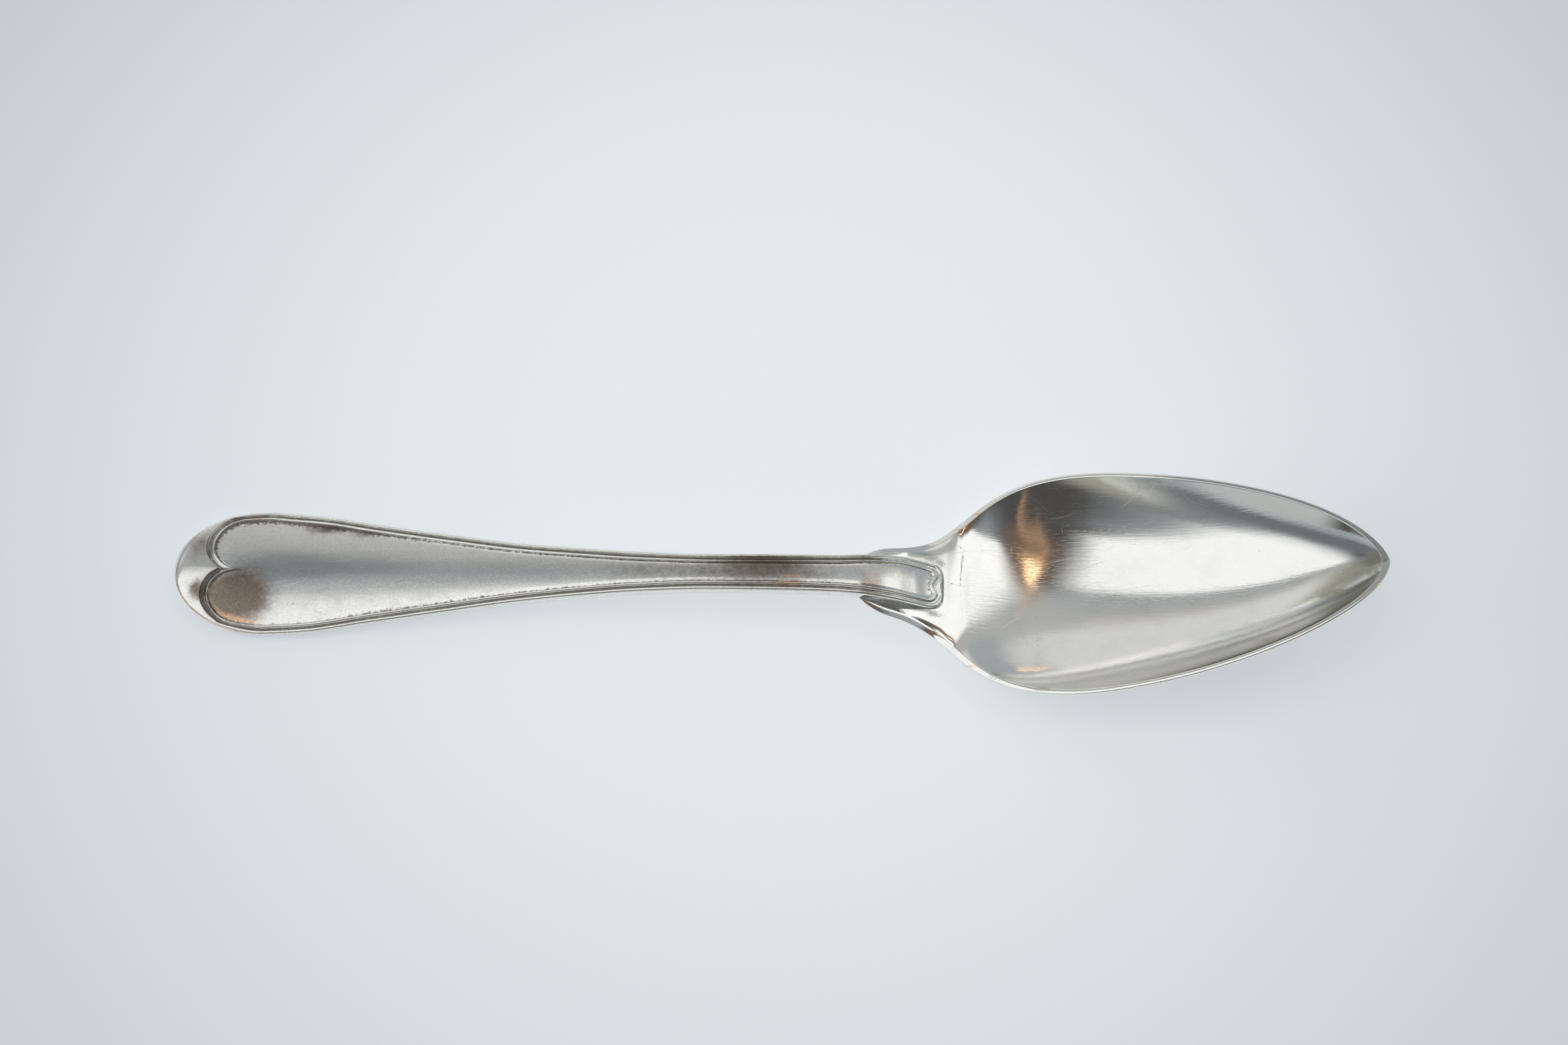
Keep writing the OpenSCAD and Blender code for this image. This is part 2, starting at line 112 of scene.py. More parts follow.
# %% [markdown]
# ## The sizes of the spoon
# All lengths are in millimetres, as a maker would write them, and a station is counted from the
# end of the handle. A name ends in S for a station, R for a half width, W for a width, T for a
# thickness and H for a height. They are the sizes of the CAD model, so that the smooth pieces
# take the places of the two solids. Two follow the light in the photograph instead: the crown of
# the handle is a little fuller, and the flat of the rim a little narrower.

# %% Stations and sizes
END_S, NARROW_S, WING_S, TONGUE_S, HEEL_S, TIP_S = 16.5, 95.0, 120.5, 135.5, 138.0, 210.0
BLADE_R, STEM_R, TONGUE_R, BOWL_R, RIM_W = 12.0, 3.45, 4.4, 21.25, 1.45
BLADE_T, ARCH_H, STEM_T, BLADE_SIDE, STEM_SIDE = 1.75, 9.6, 3.75, 0.9, 1.65
TONGUE_T, HEEL_H, TIP_H, RIM_SIDE, BOWL_T = 0.6, 4.2, 21.0, 0.9, 1.1
END_LIFT, CROWN_H = 1.3, 0.75
WING_R = lerp(STEM_R, TONGUE_R, 0.42)
ROUND_S = lerp(WING_S, TONGUE_S, 0.7)
NECK_LEN, BOWL_LEN = HEEL_S - WING_S, TIP_S - HEEL_S
WIDEST_S, DEEP_S = HEEL_S + 0.285 * BOWL_LEN, HEEL_S + 0.305 * BOWL_LEN
WEAR = 0.08 * BOWL_T
MM = 0.001


def place(s, t, z):
    return ((s - TIP_S / 2) * MM, t * MM, z * MM)


def worn(z):
    """The two places that touch the table are rubbed flat."""
    return max(0.0, 2 * (z - WEAR)) if z < 2 * WEAR else z


print("neck", NECK_LEN, "mm, bowl", BOWL_LEN, "mm long")

# %% The line of the handle
outline_of_handle = curve(
    stretch([(0, 1), (0.1, 0.93), (0.24, 0.72), (0.43, 0.45), (0.56, 0.275), (0.69, 0.155), (0.84, 0.05),
             (1, 0)], END_S, NARROW_S - END_S, STEM_R, BLADE_R - STEM_R)
    + stretch([(0.35, 0.03), (0.85, 0.18)], NARROW_S, WING_S - NARROW_S, STEM_R, TONGUE_R - STEM_R)
    + stretch([(0, 0.42), (0.25, 0.68), (0.5, 0.92)], WING_S, TONGUE_S - WING_S, STEM_R, TONGUE_R - STEM_R)
    + [(ROUND_S, TONGUE_R), (TONGUE_S, TONGUE_R)])


def handle_r(s):
    if s < END_S:
        return BLADE_R * math.sqrt(max(0, 1 - ((END_S - s) / END_S) ** 2))
    if s > ROUND_S:
        return TONGUE_R * math.sqrt(max(0, 1 - ((s - ROUND_S) / (TONGUE_S - ROUND_S)) ** 4))
    return outline_of_handle(s)


def scarf(s):
    """The flat lap on which the tongue lies."""
    return ARCH_H - STEM_SIDE + (HEEL_H - ARCH_H + STEM_SIDE) * (s - WING_S) / NECK_LEN


face_line = curve(
    stretch([(0, 0), (0.07, 0), (0.14, 0.005), (0.3, 0.17), (0.47, 0.41), (0.63, 0.665), (0.79, 0.86),
             (0.92, 0.97), (1, 1)], 0, WING_S, BLADE_T, ARCH_H - BLADE_T)
    + stretch([(0.2, 0.07), (0.42, 0.22), (0.64, 0.54), (0.83, 0.85), (1, 1)], WING_S, TONGUE_S - WING_S,
              ARCH_H, scarf(TONGUE_S) + TONGUE_T - ARCH_H))
lift = curve(stretch([(0, 1), (0.15, 0.83), (0.3, 0.63), (0.45, 0.42), (0.6, 0.235), (0.75, 0.1), (0.9, 0.02),
                      (1, 0)], 0, END_S, 0, END_LIFT))
mid_s = lerp(END_S, NARROW_S, 0.5)
side = curve([(0, BLADE_SIDE), (END_S, BLADE_SIDE), (mid_s, lerp(BLADE_SIDE, STEM_SIDE, 0.55)),
              (NARROW_S, STEM_SIDE), (WING_S, STEM_SIDE)])
thick = curve([(0, BLADE_SIDE), (END_S, BLADE_T), (mid_s, lerp(BLADE_T, STEM_T, 0.35)),
               (NARROW_S, lerp(BLADE_T, STEM_T, 0.8)), (WING_S, STEM_T)])


def face(s):
    """The top of the handle along its edges; the blade's end is turned up."""
    return face_line(s) + (lift(s) if s < END_S else 0)


def crown(s, t):
    """How far the face swells over its edges, at t from the middle."""
    r = max(handle_r(s), WEAR)
    return CROWN_H * r / BLADE_R * max(0, 1 - (t / r) ** 2)


def back(s):
    return face(s) - thick(s)


print("handle half width at 40, 80, 118 mm:", [round(handle_r(s), 2) for s in (40, 80, 118)])

# %% The line of the bowl
outline_of_neck = curve(
    stretch([(0, 0), (0.09, 0.066), (0.25, 0.14), (0.45, 0.183), (0.6, 0.229), (0.72, 0.28), (0.83, 0.361),
             (0.94, 0.465)], WING_S, NECK_LEN, WING_R, BOWL_R - WING_R)
    + stretch([(0.015, 0.58), (0.042, 0.68), (0.07, 0.76), (0.11, 0.858), (0.16, 0.928), (0.22, 0.98),
               (0.285, 1)], HEEL_S, BOWL_LEN, WING_R, BOWL_R - WING_R))
rim_as_drawn = curve(
    stretch([(0, 1.04), (0.2, 0.86), (0.37, 0.68), (0.54, 0.45), (0.71, 0.18), (0.88, 0.04)],
            WING_S, NECK_LEN, HEEL_H, ARCH_H - STEM_SIDE - HEEL_H)
    + stretch([(0.01, 0.003), (0.05, 0.043), (0.11, 0.118), (0.2, 0.223), (0.3, 0.326), (0.4, 0.431),
               (0.5, 0.54), (0.65, 0.705), (0.8, 0.865), (0.9, 0.95), (1, 1)],
              HEEL_S, BOWL_LEN, HEEL_H, TIP_H - HEEL_H))
rim = evened(rim_as_drawn, 128, 170, reach=2.0)
facet = curve(
    stretch([(0, 0.1), (0.1, 0.5), (0.26, 0.75), (0.48, 0.82), (0.72, 0.78), (0.88, 0.74)],
            WING_S, NECK_LEN, 0, RIM_W)
    + stretch([(0.014, 0.72), (0.04, 0.7), (0.1, 0.64), (0.18, 0.58), (0.5, 0.55), (1, 0.55)],
              HEEL_S, BOWL_LEN, 0, RIM_W))
keel_of_neck = curve(
    stretch([(0, 1), (0.11, 0.88), (0.24, 0.65), (0.367, 0.41), (0.49, 0.22), (0.62, 0.095), (0.75, 0.03),
             (0.88, 0.005), (1, 0)], WING_S, DEEP_S - WING_S, 0, back(WING_S)))
side_of_rim = curve([(WING_S, RIM_SIDE / 3), (lerp(WING_S, HEEL_S, 0.3), RIM_SIDE), (TIP_S, RIM_SIDE)])
INNER_TIP_S, FAR_RIM_W = TIP_S - 0.85 * RIM_W, 0.55 * RIM_W
LIP_DROP = 0.06
PROBE, STEEPEST = 0.15, 9  # how far to each side the lean of the outline is felt, and its limit
TURN_LEN = 12  # past the widest place, the rim passes into the leaf over this length
LONG_SHARE, CROSS_SHARE, HEEL_SHARE = 0.6, 0.55, 0.2
LAND_FALL = 0.03
bevel = curve([(WING_S, 0.1), (125, 0.3), (137, 0.36), (143, 0.2), (152, 0.06), (TIP_S, 0.05)])


def leaf(s, tip, r):
    """The long pointed curve of the bowl beyond its widest place."""
    return r * max(0, 1 - (max(0, s - WIDEST_S) / (tip - WIDEST_S)) ** 1.7) ** 0.6


def outline_as_drawn(s):
    return outline_of_neck(s) if s < WIDEST_S else leaf(s, TIP_S, BOWL_R)


outline_r = evened(outline_as_drawn, 126, 176, reach=2.8)


def crest_r(s):
    """Inner edge of the flat top of the rim."""
    w = outline_r(s)
    past = ease((s - WIDEST_S) / TURN_LEN)
    far = max(leaf(s, INNER_TIP_S, BOWL_R - FAR_RIM_W), 0.06 * w) if past else 0
    if past == 1:
        return far
    lean = (outline_r(s + PROBE) - outline_r(s - PROBE)) / (2 * PROBE)
    c = w - facet(s) * math.sqrt(1 + min(STEEPEST, lean * lean))
    return min(0.97 * w, max(c, handle_r(min(s, ROUND_S)))) if s < TONGUE_S else lerp(c, far, past)


def dish(r, share):
    """Rise of a dished floor, from 0 in the middle to 1 at the edge."""
    return share * r * r + (1 - share) * r**4


def keel(s):
    """Height of the underside along the middle."""
    if s < DEEP_S:
        return keel_of_neck(s)
    return (TIP_H - RIM_SIDE) * dish((s - DEEP_S) / (TIP_S - DEEP_S), LONG_SHARE)


def floor_h(s):
    """Height of the hollow along the middle."""
    if s < DEEP_S:
        return BOWL_T + (HEEL_H - BOWL_T) * dish((DEEP_S - s) / (DEEP_S - HEEL_S), LONG_SHARE)
    return BOWL_T + (TIP_H - BOWL_T) * dish(min(1, (s - DEEP_S) / (INNER_TIP_S - DEEP_S)), LONG_SHARE)


print("bowl half width at 150, 190 mm:", [round(outline_r(s), 2) for s in (150, 190)])

# %% The top and the back of the bowl
def lip(s):
    """Height of the inner edge of the rim."""
    return rim(s) - LIP_DROP * min(1, 2 * (outline_r(s) - crest_r(s)))


def neck_top(s, t):
    """The land on the neck, rising into the rim on either side."""
    c = crest_r(s)
    e = min(TONGUE_R, 0.97 * c, handle_r(s) if s < ROUND_S else TONGUE_R)
    land = scarf(s) - LAND_FALL * max(0, s - TONGUE_S)
    return land if t <= e else lerp(land, lip(s), ((t - e) / max(c - e, 0.05)) ** 6)


def hollow(s, t):
    floor = min(floor_h(s), lip(s)) if s > HEEL_S + 2 else floor_h(s)
    share = lerp(HEEL_SHARE, CROSS_SHARE, ease((s - HEEL_S) / 14))
    return lerp(floor, lip(s), dish(min(1, t / crest_r(s)), share))


def bowl_top(s, t):
    if s < TONGUE_S:
        return neck_top(s, t)
    return lerp(neck_top(s, t), hollow(s, t), ease((s - TONGUE_S) / 5))


def rim_edge(s):
    """Height of the outer wall under the rim."""
    return min(side_of_rim(s), max(rim(s) - keel(s), RIM_SIDE / 3))


def bowl_back(s, t):
    return worn(lerp(keel(s), rim(s) - rim_edge(s), dish(t / max(outline_r(s), 1e-6), CROSS_SHARE)))


BACK_SHARES = [1 - (1 - i / 26) ** 1.3 for i in range(26)]
CORNER_SHARES, WALL_SHARES = (0.35, 0.7, 1), (0.35, 0.7)
ROUND_SHARES = [i / 5 for i in range(6)]
FACET_SHARES = (0.15, 0.3, 0.45, 0.6, 0.72, 0.84, 0.94)
TOP_ROWS = 42
TURN_R, CORNER_R = 0.3, 0.12


def half_section(s):
    """One side of a cut through the bowl, from the keel round the rim to the middle of the top."""
    w, z, wall = outline_r(s), rim(s), rim_edge(s)
    slant = min(bevel(s), 0.4 * wall)
    crest = min(crest_r(s), w - 0.01 * min(1, w))
    turn = min(TURN_R, 0.33 * (wall - slant), 0.36 * (w - crest))
    corner = min(CORNER_R, 0.12 * wall, 0.1 * w)
    points = [(w * f, bowl_back(s, w * f)) for f in BACK_SHARES]
    for a in [math.pi / 2 * f for f in CORNER_SHARES]:
        points.append((w - corner * (1 - math.sin(a)), z - wall + corner * (1 - math.cos(a))))
    points += [(w, z - lerp(wall - corner, slant + turn, f)) for f in WALL_SHARES]
    for a in [math.pi / 2 * f for f in ROUND_SHARES]:
        points.append((w - turn * (1 - math.cos(a)), z - slant - turn * (1 - math.sin(a))))
    for f in FACET_SHARES:
        points.append((lerp(w - turn, crest, f), z - slant * (1 - f) ** 1.4 - (z - lip(s)) * f ** 2))
    for i in range(TOP_ROWS):
        t = crest * (1 - (i / (TOP_ROWS - 1)) ** 1.35)
        points.append((t, bowl_top(s, t)))
    return points


print("points on one half of a cut:", len(half_section(150)))

# %% [markdown]
# ## Where tarnish gathers, and where light is painted
# A cloth keeps the open faces bright, and leaves the dark sulphide where it can't reach: in the
# groove between the threads, in the crease at their feet, and round the lap. These places
# belong to the form, so they are kept in the skin itself as marks, numbers from 0 to 1, one for
# each point. Some other marks are painted light: golden glints of a warm lamp and grey painted
# shade. The finish reads them later and breaks them up with noise.

# %% Soft spots and the marks of the bowl
def spots(s, t, table):
    """How much a point lies in soft oval spots: (station, side, reach along, reach across, strength)."""
    return min(1, sum(k * ease(1 - math.hypot((s - s0) / rs, (t - t0) / rt)) for s0, t0, rs, rt, k in table))


def marks_of(rings, functions):
    """For each mark, its value at every point of every ring, from the ring, the point, s and t."""
    return {name: [[f(r, k, x / MM + TIP_S / 2, y / MM) for k, (x, y, z) in enumerate(ring)]
                   for r, ring in enumerate(rings)] for name, f in functions.items()}


lap_spots = [(133.2, 5.6, 3.2, 1.5, 0.75), (131, 6.2, 3, 0.8, 0.4), (135.0, 4.6, 1.6, 1.3, 0.6),
             (130.8, -4.7, 3.2, 0.5, 0.8), (133.8, -5.2, 2.6, 1.1, 0.75), (124, 4.6, 5, 0.7, 0.6),
             (126, -4.6, 4, 0.4, 0.5)]
pit_spots = [(147, -4.6, 5, 3, 0.9), (151.5, -8.3, 5, 5, 0.9), (147, -12, 6, 5, 0.8), (157, -12, 6, 4, 0.7),
             (157, -4, 5, 2, 0.7), (186, -13, 9, 3, 0.6), (165, -17, 9, 2.5, 0.8), (178, -15.5, 9, 2, 0.7),
             (137, -8, 3, 4, 0.7), (143, -17, 5, 3, 0.8)]
stain_spots = [(200.5, -2.5, 4.5, 2.2, 0.7), (203, -3.5, 3, 1.5, 0.4), (190, -11.5, 4, 3, 0.6),
               (152, -19.8, 3, 1, 0.8), (207.5, 0, 3, 5, 0.7), (144, -17, 4, 2, 0.5),
               (172, 18.5, 16, 4, 0.35)]
# Painted reflections of the warm lamp: golden glints at the corners of the heel and near the tip.
glint_spots = [(139.2, -14.6, 4, 0.6, 0.9), (141.5, -17.0, 3, 0.5, 0.8), (207, -4, 3, 1.5, 0.4),
               (138.5, 11.8, 2.5, 0.4, 0.8), (141, 14.8, 2.5, 0.4, 0.8)]


HALF = len(half_section(WIDEST_S))
LAP_FROM, LAP_TO = WING_S - 2.5, HEEL_S + 3
HEEL_LINE_S, HEEL_BOW = 138.4, 0.012


def inside(k):
    """Whether a point of a cut of the bowl lies on its upper side."""
    return min(k, 2 * HALF - 2 - k) >= HALF - TOP_ROWS - len(FACET_SHARES) - 1


def lap_mark(r, k, s, t):
    """A dark seam round the tongue, with blots at its corners."""
    if not (LAP_FROM < s < LAP_TO and inside(k)):
        return 0
    past = max(0, s - ROUND_S) / (TONGUE_S - ROUND_S)
    gap = TONGUE_R * ((past ** 4 + (abs(t) / TONGUE_R) ** 2) ** 0.4 - 1) if past else abs(t) - handle_r(s)
    return min(1, 0.25 * ease(1 - gap / 0.9) + spots(s, t, lap_spots))


def heel(t):
    """Station where the land breaks into the hollow."""
    return HEEL_LINE_S + HEEL_BOW * (t - 1) ** 2


def heel_line_mark(r, k, s, t):
    """The thin dark line where the land breaks into the hollow."""
    if not inside(k):
        return 0
    fading = ease((9.5 - t) / 3) * ease((t + 11) / 7)
    return ease(1 - abs(s - heel(t)) / 0.3) * fading * (0.65 if t > 1 else 0.3)


def hollow_mark(r, k, s, t):
    """The open hollow, which is rubbed in use: past the heel and inside the rim."""
    return ease((s - heel(t)) / 1.2) * ease((crest_r(s) - abs(t)) / 0.5) if inside(k) else 0


def painted_shade_mark(r, k, s, t):
    """Painted shade: grey under the north rim from about 168 mm towards the tip, and fainter under the south
    rim nearer the tip.
    """
    if not inside(k):
        return 0
    from_rim = crest_r(s) - abs(t)
    if t > 0:
        return ease((5.6 - from_rim) / 3) * ease((s - 168) / 11)
    return 0.45 * ease((8 - from_rim) / 5) * ease((s - 188) / 12)


print("mark at the corner of the lap:", round(lap_mark(0, 60, 133.2, 5.8), 2))

# %% [markdown]
# ## The bowl as a stack of cuts
# The real bowl is beaten hollow over a stake, so it is one closed skin whose cuts change
# slowly from neck to tip. A flat grid is wrapped into such a skin: each of its rows is laid on
# the cut at its own station, the two long sides meet under the keel, and the first and the last
# row are drawn together in a point. Merging the points that coincide closes it. Subdivision
# would round off the crisp edge of the rim, so the rows are simply set close together.

# %% Wrap a grid into a closed skin
SAME_PLACE = 1e-8


def wrapped_skin(name, rings, marks=()):
    """A closed skin: the rows of a grid are moved onto rings of points, and merged where they meet.

    Each mark is a name and a list with a value for every point of every ring."""
    n, m = len(rings[0]), len(rings)
    bpy.ops.mesh.primitive_grid_add(x_subdivisions=n, y_subdivisions=m - 1, size=2)
    skin = bpy.context.active_object
    skin.name = skin.data.name = name
    for v in skin.data.vertices:
        col, row = round((v.co.x + 1) / 2 * n), round((v.co.y + 1) / 2 * (m - 1))
        v.co = rings[row][col % n]
    for label, values in dict(marks).items():
        layer = skin.data.attributes.new(label, "FLOAT", "POINT")
        layer.data.foreach_set("value", [values[i // (n + 1)][i % (n + 1) % n] for i in range((n + 1) * m)])
    bpy.ops.object.mode_set(mode="EDIT")
    bpy.ops.mesh.select_all(action="SELECT")
    bpy.ops.mesh.remove_doubles(threshold=SAME_PLACE)
    bpy.ops.mesh.normals_make_consistent(inside=False)
    bpy.ops.object.mode_set(mode="OBJECT")
    bpy.ops.object.shade_smooth()
    bpy.ops.object.select_all(action="DESELECT")
    return skin


def bowl_ring(s):
    half = half_section(s)
    return [place(s, t, z) for t, z in half] + [place(s, -t, z) for t, z in reversed(half[1:-1])]


ROWS, NECK_TO, TIP_FROM, LAST_S = 110, HEEL_S + 8, TIP_S - 14, TIP_S - 0.005
POINT_H = TIP_H - 0.3


def bowl_stations():
    """Stations of the cuts, closer and closer towards the tip."""
    neck = [lerp(WING_S, NECK_TO, i / ROWS) for i in range(ROWS)]
    middle = [lerp(NECK_TO, TIP_FROM, i / ROWS) for i in range(ROWS)]
    tip = [LAST_S - (LAST_S - TIP_FROM) * (1 - i / (ROWS - 1)) ** 2.4 for i in range(ROWS)]
    return neck + middle + tip


cuts = [bowl_ring(s) for s in bowl_stations()]
butt = [place(WING_S, 0, lerp(bowl_back(WING_S, 0), scarf(WING_S), 0.5))] * len(cuts[0])
bowl_rings = [butt] + cuts + [[place(TIP_S, 0, POINT_H)] * len(cuts[0])]
bowl = wrapped_skin("bowl_skin", bowl_rings, marks_of(bowl_rings, {
    "lap": lap_mark, "heel_line": heel_line_mark, "hollow": hollow_mark, "painted_shade": painted_shade_mark,
    "pitted": lambda r, k, s, t: spots(s, t, pit_spots) if inside(k) else 0,
    "stain": lambda r, k, s, t: spots(s, t, stain_spots) if inside(k) else 0,
    "painted_glint": lambda r, k, s, t: spots(s, t, glint_spots) if inside(k) else 0}))
print("bowl:", len(bowl.data.vertices), "points,", len(bowl.data.polygons), "faces")

# %% [markdown]
# ## The paths of the threads
# Two threads run round the handle without a break. At the blade's end they turn inwards to a
# point, which makes the top of a heart; on the tongue they turn in again as a brace. A mesh of
# straight cuts would show these curves as steps. So the skin of the handle follows the threads:
# its loops run round the handle as they do, and every edge of a thread is one of the loops.

# %% Smooth paths through listed points
def through(points, cuts=14):
    """A path through the points, with its direction at each taken from the neighbours."""
    path = []
    for i in range(len(points) - 1):
        a, b = points[i], points[i + 1]
        before, after = points[max(0, i - 1)], points[min(len(points) - 1, i + 2)]
        ma = [(b[k] - before[k]) / (2 if i else 1) for k in (0, 1)]
        mb = [(after[k] - a[k]) / (2 if i + 2 < len(points) else 1) for k in (0, 1)]
        for j in range(cuts):
            path.append(tuple(hermite(j / cuts, a[k], ma[k], b[k], mb[k]) for k in (0, 1)))
    return path + [tuple(points[-1])]


def evenly(path, n):
    """n + 1 points at equal steps along a path."""
    lengths = [0.0]
    for a, b in zip(path, path[1:]):
        lengths.append(lengths[-1] + math.dist(a, b))
    points, j = [], 0
    for i in range(n + 1):
        want = lengths[-1] * i / n
        while j < len(lengths) - 2 and lengths[j + 1] < want:
            j += 1
        f = (want - lengths[j]) / max(lengths[j + 1] - lengths[j], 1e-9)
        points.append(tuple(lerp(path[j][k], path[j + 1][k], f) for k in (0, 1)))
    return points


HEART_TO, BRACE_FROM = 22.0, 128.0
N_HEART, N_SIDE, N_BRACE = 130, 220, 70
SIDE_STATIONS = [lerp(HEART_TO, BRACE_FROM, i / N_SIDE) for i in range(1, N_SIDE)]
EDGE_W, GROOVE_W, THREAD_W, THREAD_H = 0.7, 0.4, 0.65, 0.35


def beside(inset, stations):
    """A path at an even distance inside the outline."""
    return [(s, handle_r(s) - inset) for s in stations]


heart_step = [(8.0, 0), (7.1, 0.6), (6.2, 1.5), (5.5, 2.8), (5.25, 4.0), (5.25, 5.3), (5.6, 6.6),
              (6.25, 7.7), (7.3, 8.85), (8.4, 9.7), (9.7, 10.4)]
heart_outer = [(9.3, 0), (8.69, 0.14), (7.67, 0.86), (6.68, 2.01), (6.08, 3.21), (5.92, 4.76), (6.19, 6.1),
               (6.72, 7.27), (7.56, 8.42), (8.72, 9.4), (10.08, 10.05), (11.73, 10.5)]
heart_inner = [(11.9, 0), (10.8, 0.2), (9.9, 0.38), (9.01, 0.69), (8.13, 1.34), (7.22, 2.39), (6.72, 3.39),
               (6.58, 4.74), (6.81, 5.9), (7.28, 6.93), (8.04, 7.98), (9.08, 8.88),
               (10.32, 9.49), (11.87, 9.87)]
HEART_JOIN = [14, 16.5, 19, HEART_TO]
brace_step = [(133.2, 3.62), (134.1, 3.2), (134.6, 2.5), (134.72, 1.8), (134.55, 1.2), (134.2, 0.6),
              (134.0, 0.25), (133.95, 0)]
brace_outer = [(132.9, 3.25), (133.6, 2.95), (134.1, 2.4), (134.3, 1.8), (134.15, 1.2), (133.85, 0.65),
               (133.65, 0.25), (133.6, 0)]
brace_inner = [(132.3, 2.55), (132.9, 2.4), (133.35, 2.1), (133.5, 1.7), (133.4, 1.25), (133.15, 0.8),
               (132.95, 0.35), (132.9, 0)]
BRACE_JOIN = [BRACE_FROM, 129.5, 131]
print("points round one half:", N_HEART + N_SIDE + N_BRACE + 1)


# %% Whole paths, one half at a time
def half_path(heart, inset, brace):
    first = evenly(through(heart + beside(inset, HEART_JOIN)), N_HEART)
    middle = beside(inset, SIDE_STATIONS)
    final = evenly(through(beside(inset, BRACE_JOIN) + brace), N_BRACE)
    return first + middle + final


def outline_of_end():
    fine, coarse = 200, 40
    quarter = [math.pi / 2 * i / fine for i in range(fine + 1)]
    end = [(END_S * (1 - math.cos(a)), BLADE_R * math.sin(a)) for a in quarter]
    far = beside(0, [lerp(END_S, HEART_TO, i / coarse) for i in range(1, coarse + 1)])
    tongue = beside(0, [lerp(BRACE_FROM, ROUND_S, i / coarse) for i in range(coarse + 1)])
    tip = [(ROUND_S + (TONGUE_S - ROUND_S) * (1 - (1 - f)**4)**0.25, TONGUE_R * (1 - f))
           for f in [(i / fine) ** 1.5 for i in range(1, fine + 1)]]
    return evenly(end + far, N_HEART) + beside(0, SIDE_STATIONS) + evenly(tongue + tip, N_BRACE)


outline_path = outline_of_end()
step_path = half_path(heart_step, EDGE_W, brace_step)
outer_path = half_path(heart_outer, EDGE_W + GROOVE_W, brace_outer)
inner_path = half_path(heart_inner, EDGE_W + GROOVE_W + THREAD_W, brace_inner)


def axis_path(near, far, last, bend):
    """Where the loops close up, along the middle of the handle."""
    heart = curve(bend)
    first = [(lerp(near, HEART_TO, heart(i / N_HEART)), 0) for i in range(N_HEART + 1)]
    middle = [(s, 0) for s in SIDE_STATIONS]
    final = [(lerp(BRACE_FROM, far, 1 - (1 - i / N_BRACE) ** last), 0) for i in range(N_BRACE + 1)]
    return first + middle + final


field_axis = axis_path(12.4, 132.5, 1.4, [(0, 0), (0.22, 0.09), (0.5, 0.24), (0.78, 0.53), (1, 1)])
under_axis = axis_path(5.0, 133.5, 1.2, [(0, 0), (0.3, 0.18), (0.6, 0.45), (1, 1)])
all_paths = (outline_path, step_path, outer_path, inner_path, field_axis, under_axis)
print("paths agree:", len({len(path) for path in all_paths}) == 1)

# %% [markdown]
# ## Heights across the threads
# The step of the handle's face is only a third of a millimetre, but it is what catches the
# light. Each row of the skin gets its height from where it lies: rounded over at the outline, a
# flat-bottomed groove, a half-round thread, a tight crease, and the nearly flat field.

# %% Heights of the rows
FIELD_SHARES = (0.02, 0.05, 0.09, 0.14, 0.2, 0.28, 0.37, 0.47, 0.58, 0.7, 0.82, 0.92, 1)
THREAD_CUTS = 12
EDGE_SHARES, LAND_SHARES = (0, 0.04, 0.1, 0.2, 0.34, 0.52, 0.75, 1), (0.33, 0.66)
STEP_W, STEP_GAPS = 0.2, (0.3, 0.22, 0.15, 0.09, 0.04, 0)
SIDE_SHARES = (0.08, 0.25, 0.5, 0.75, 0.92, 1)
UNDER_SHARES = (0.012, 0.03, 0.06, 0.11, 0.17, 0.24, 0.32, 0.41, 0.5, 0.6, 0.7, 0.8, 0.9, 1)
SHARPEST, ROUNDEST = 0.35, 1.66
SHOULDER_DROP, BRACE_DROP, BRACE_SHARE = 0.32, 0.14, 0.62
GROOVE_DIP, CREST_DROP, CREASE_DIP = 0.05, 0.02, 0.05
FIELD_RISE, FIELD_DROP, RISE_W = 0.09, 0.01, 0.5
RIDGE_H, RIDGE_R, RIDGE_TO = 0.16, 5, 8.2


def at_brace(s):
    """0 along the stem, and 1 on the tongue, where the work is finer."""
    return ease((s - BRACE_FROM) / 4)


def depth(s):
    """The threads are struck less deep round the brace."""
    return THREAD_H * lerp(1, BRACE_SHARE, at_brace(s))


def shoulder(i):
    """Reach and drop of the rounding at the outline."""
    reach = min(ROUNDEST, max(SHARPEST, 0.5 * math.dist(outline_path[i], step_path[i])))
    drop = SHOULDER_DROP + BRACE_DROP * at_brace(outline_path[i][0])
    return reach, drop * (1 + 0.6 * (reach - SHARPEST))


def edge_rows(i):
    """Rows from the outline to the step: (s, t, height under the crests)."""
    a, b = outline_path[i], step_path[i]
    w = math.dist(a, b)
    reach, drop = shoulder(i)
    steps_in = [reach * f for f in EDGE_SHARES]
    steps_in += [lerp(reach, w - STEP_GAPS[0], f) for f in LAND_SHARES] + [w - gap for gap in STEP_GAPS]
    rows = []
    for d in steps_in:
        s, t = [lerp(a[k], b[k], d / w) for k in (0, 1)]
        over = -drop * max(0, 1 - d / reach) ** 2.2
        rows.append((s, t, over - depth(s) * (1 - ease((w - d) / STEP_W))))
    return rows


def thread_rows(i):
    """Rows across the groove and the thread beside it."""
    a, b, c = step_path[i], outer_path[i], inner_path[i]
    low = depth(a[0])
    rows = [(lerp(a[0], b[0], f), lerp(a[1], b[1], f), -low - GROOVE_DIP * math.sin(math.pi * f))
            for f in (0.25, 0.5, 0.75)]
    for j in range(THREAD_CUTS + 1):
        f = j / THREAD_CUTS
        rows.append((lerp(b[0], c[0], f), lerp(b[1], c[1], f),
                     -low + (low - CREST_DROP) * math.sin(math.pi * f) ** 0.8 - CREASE_DIP * f))
    return rows


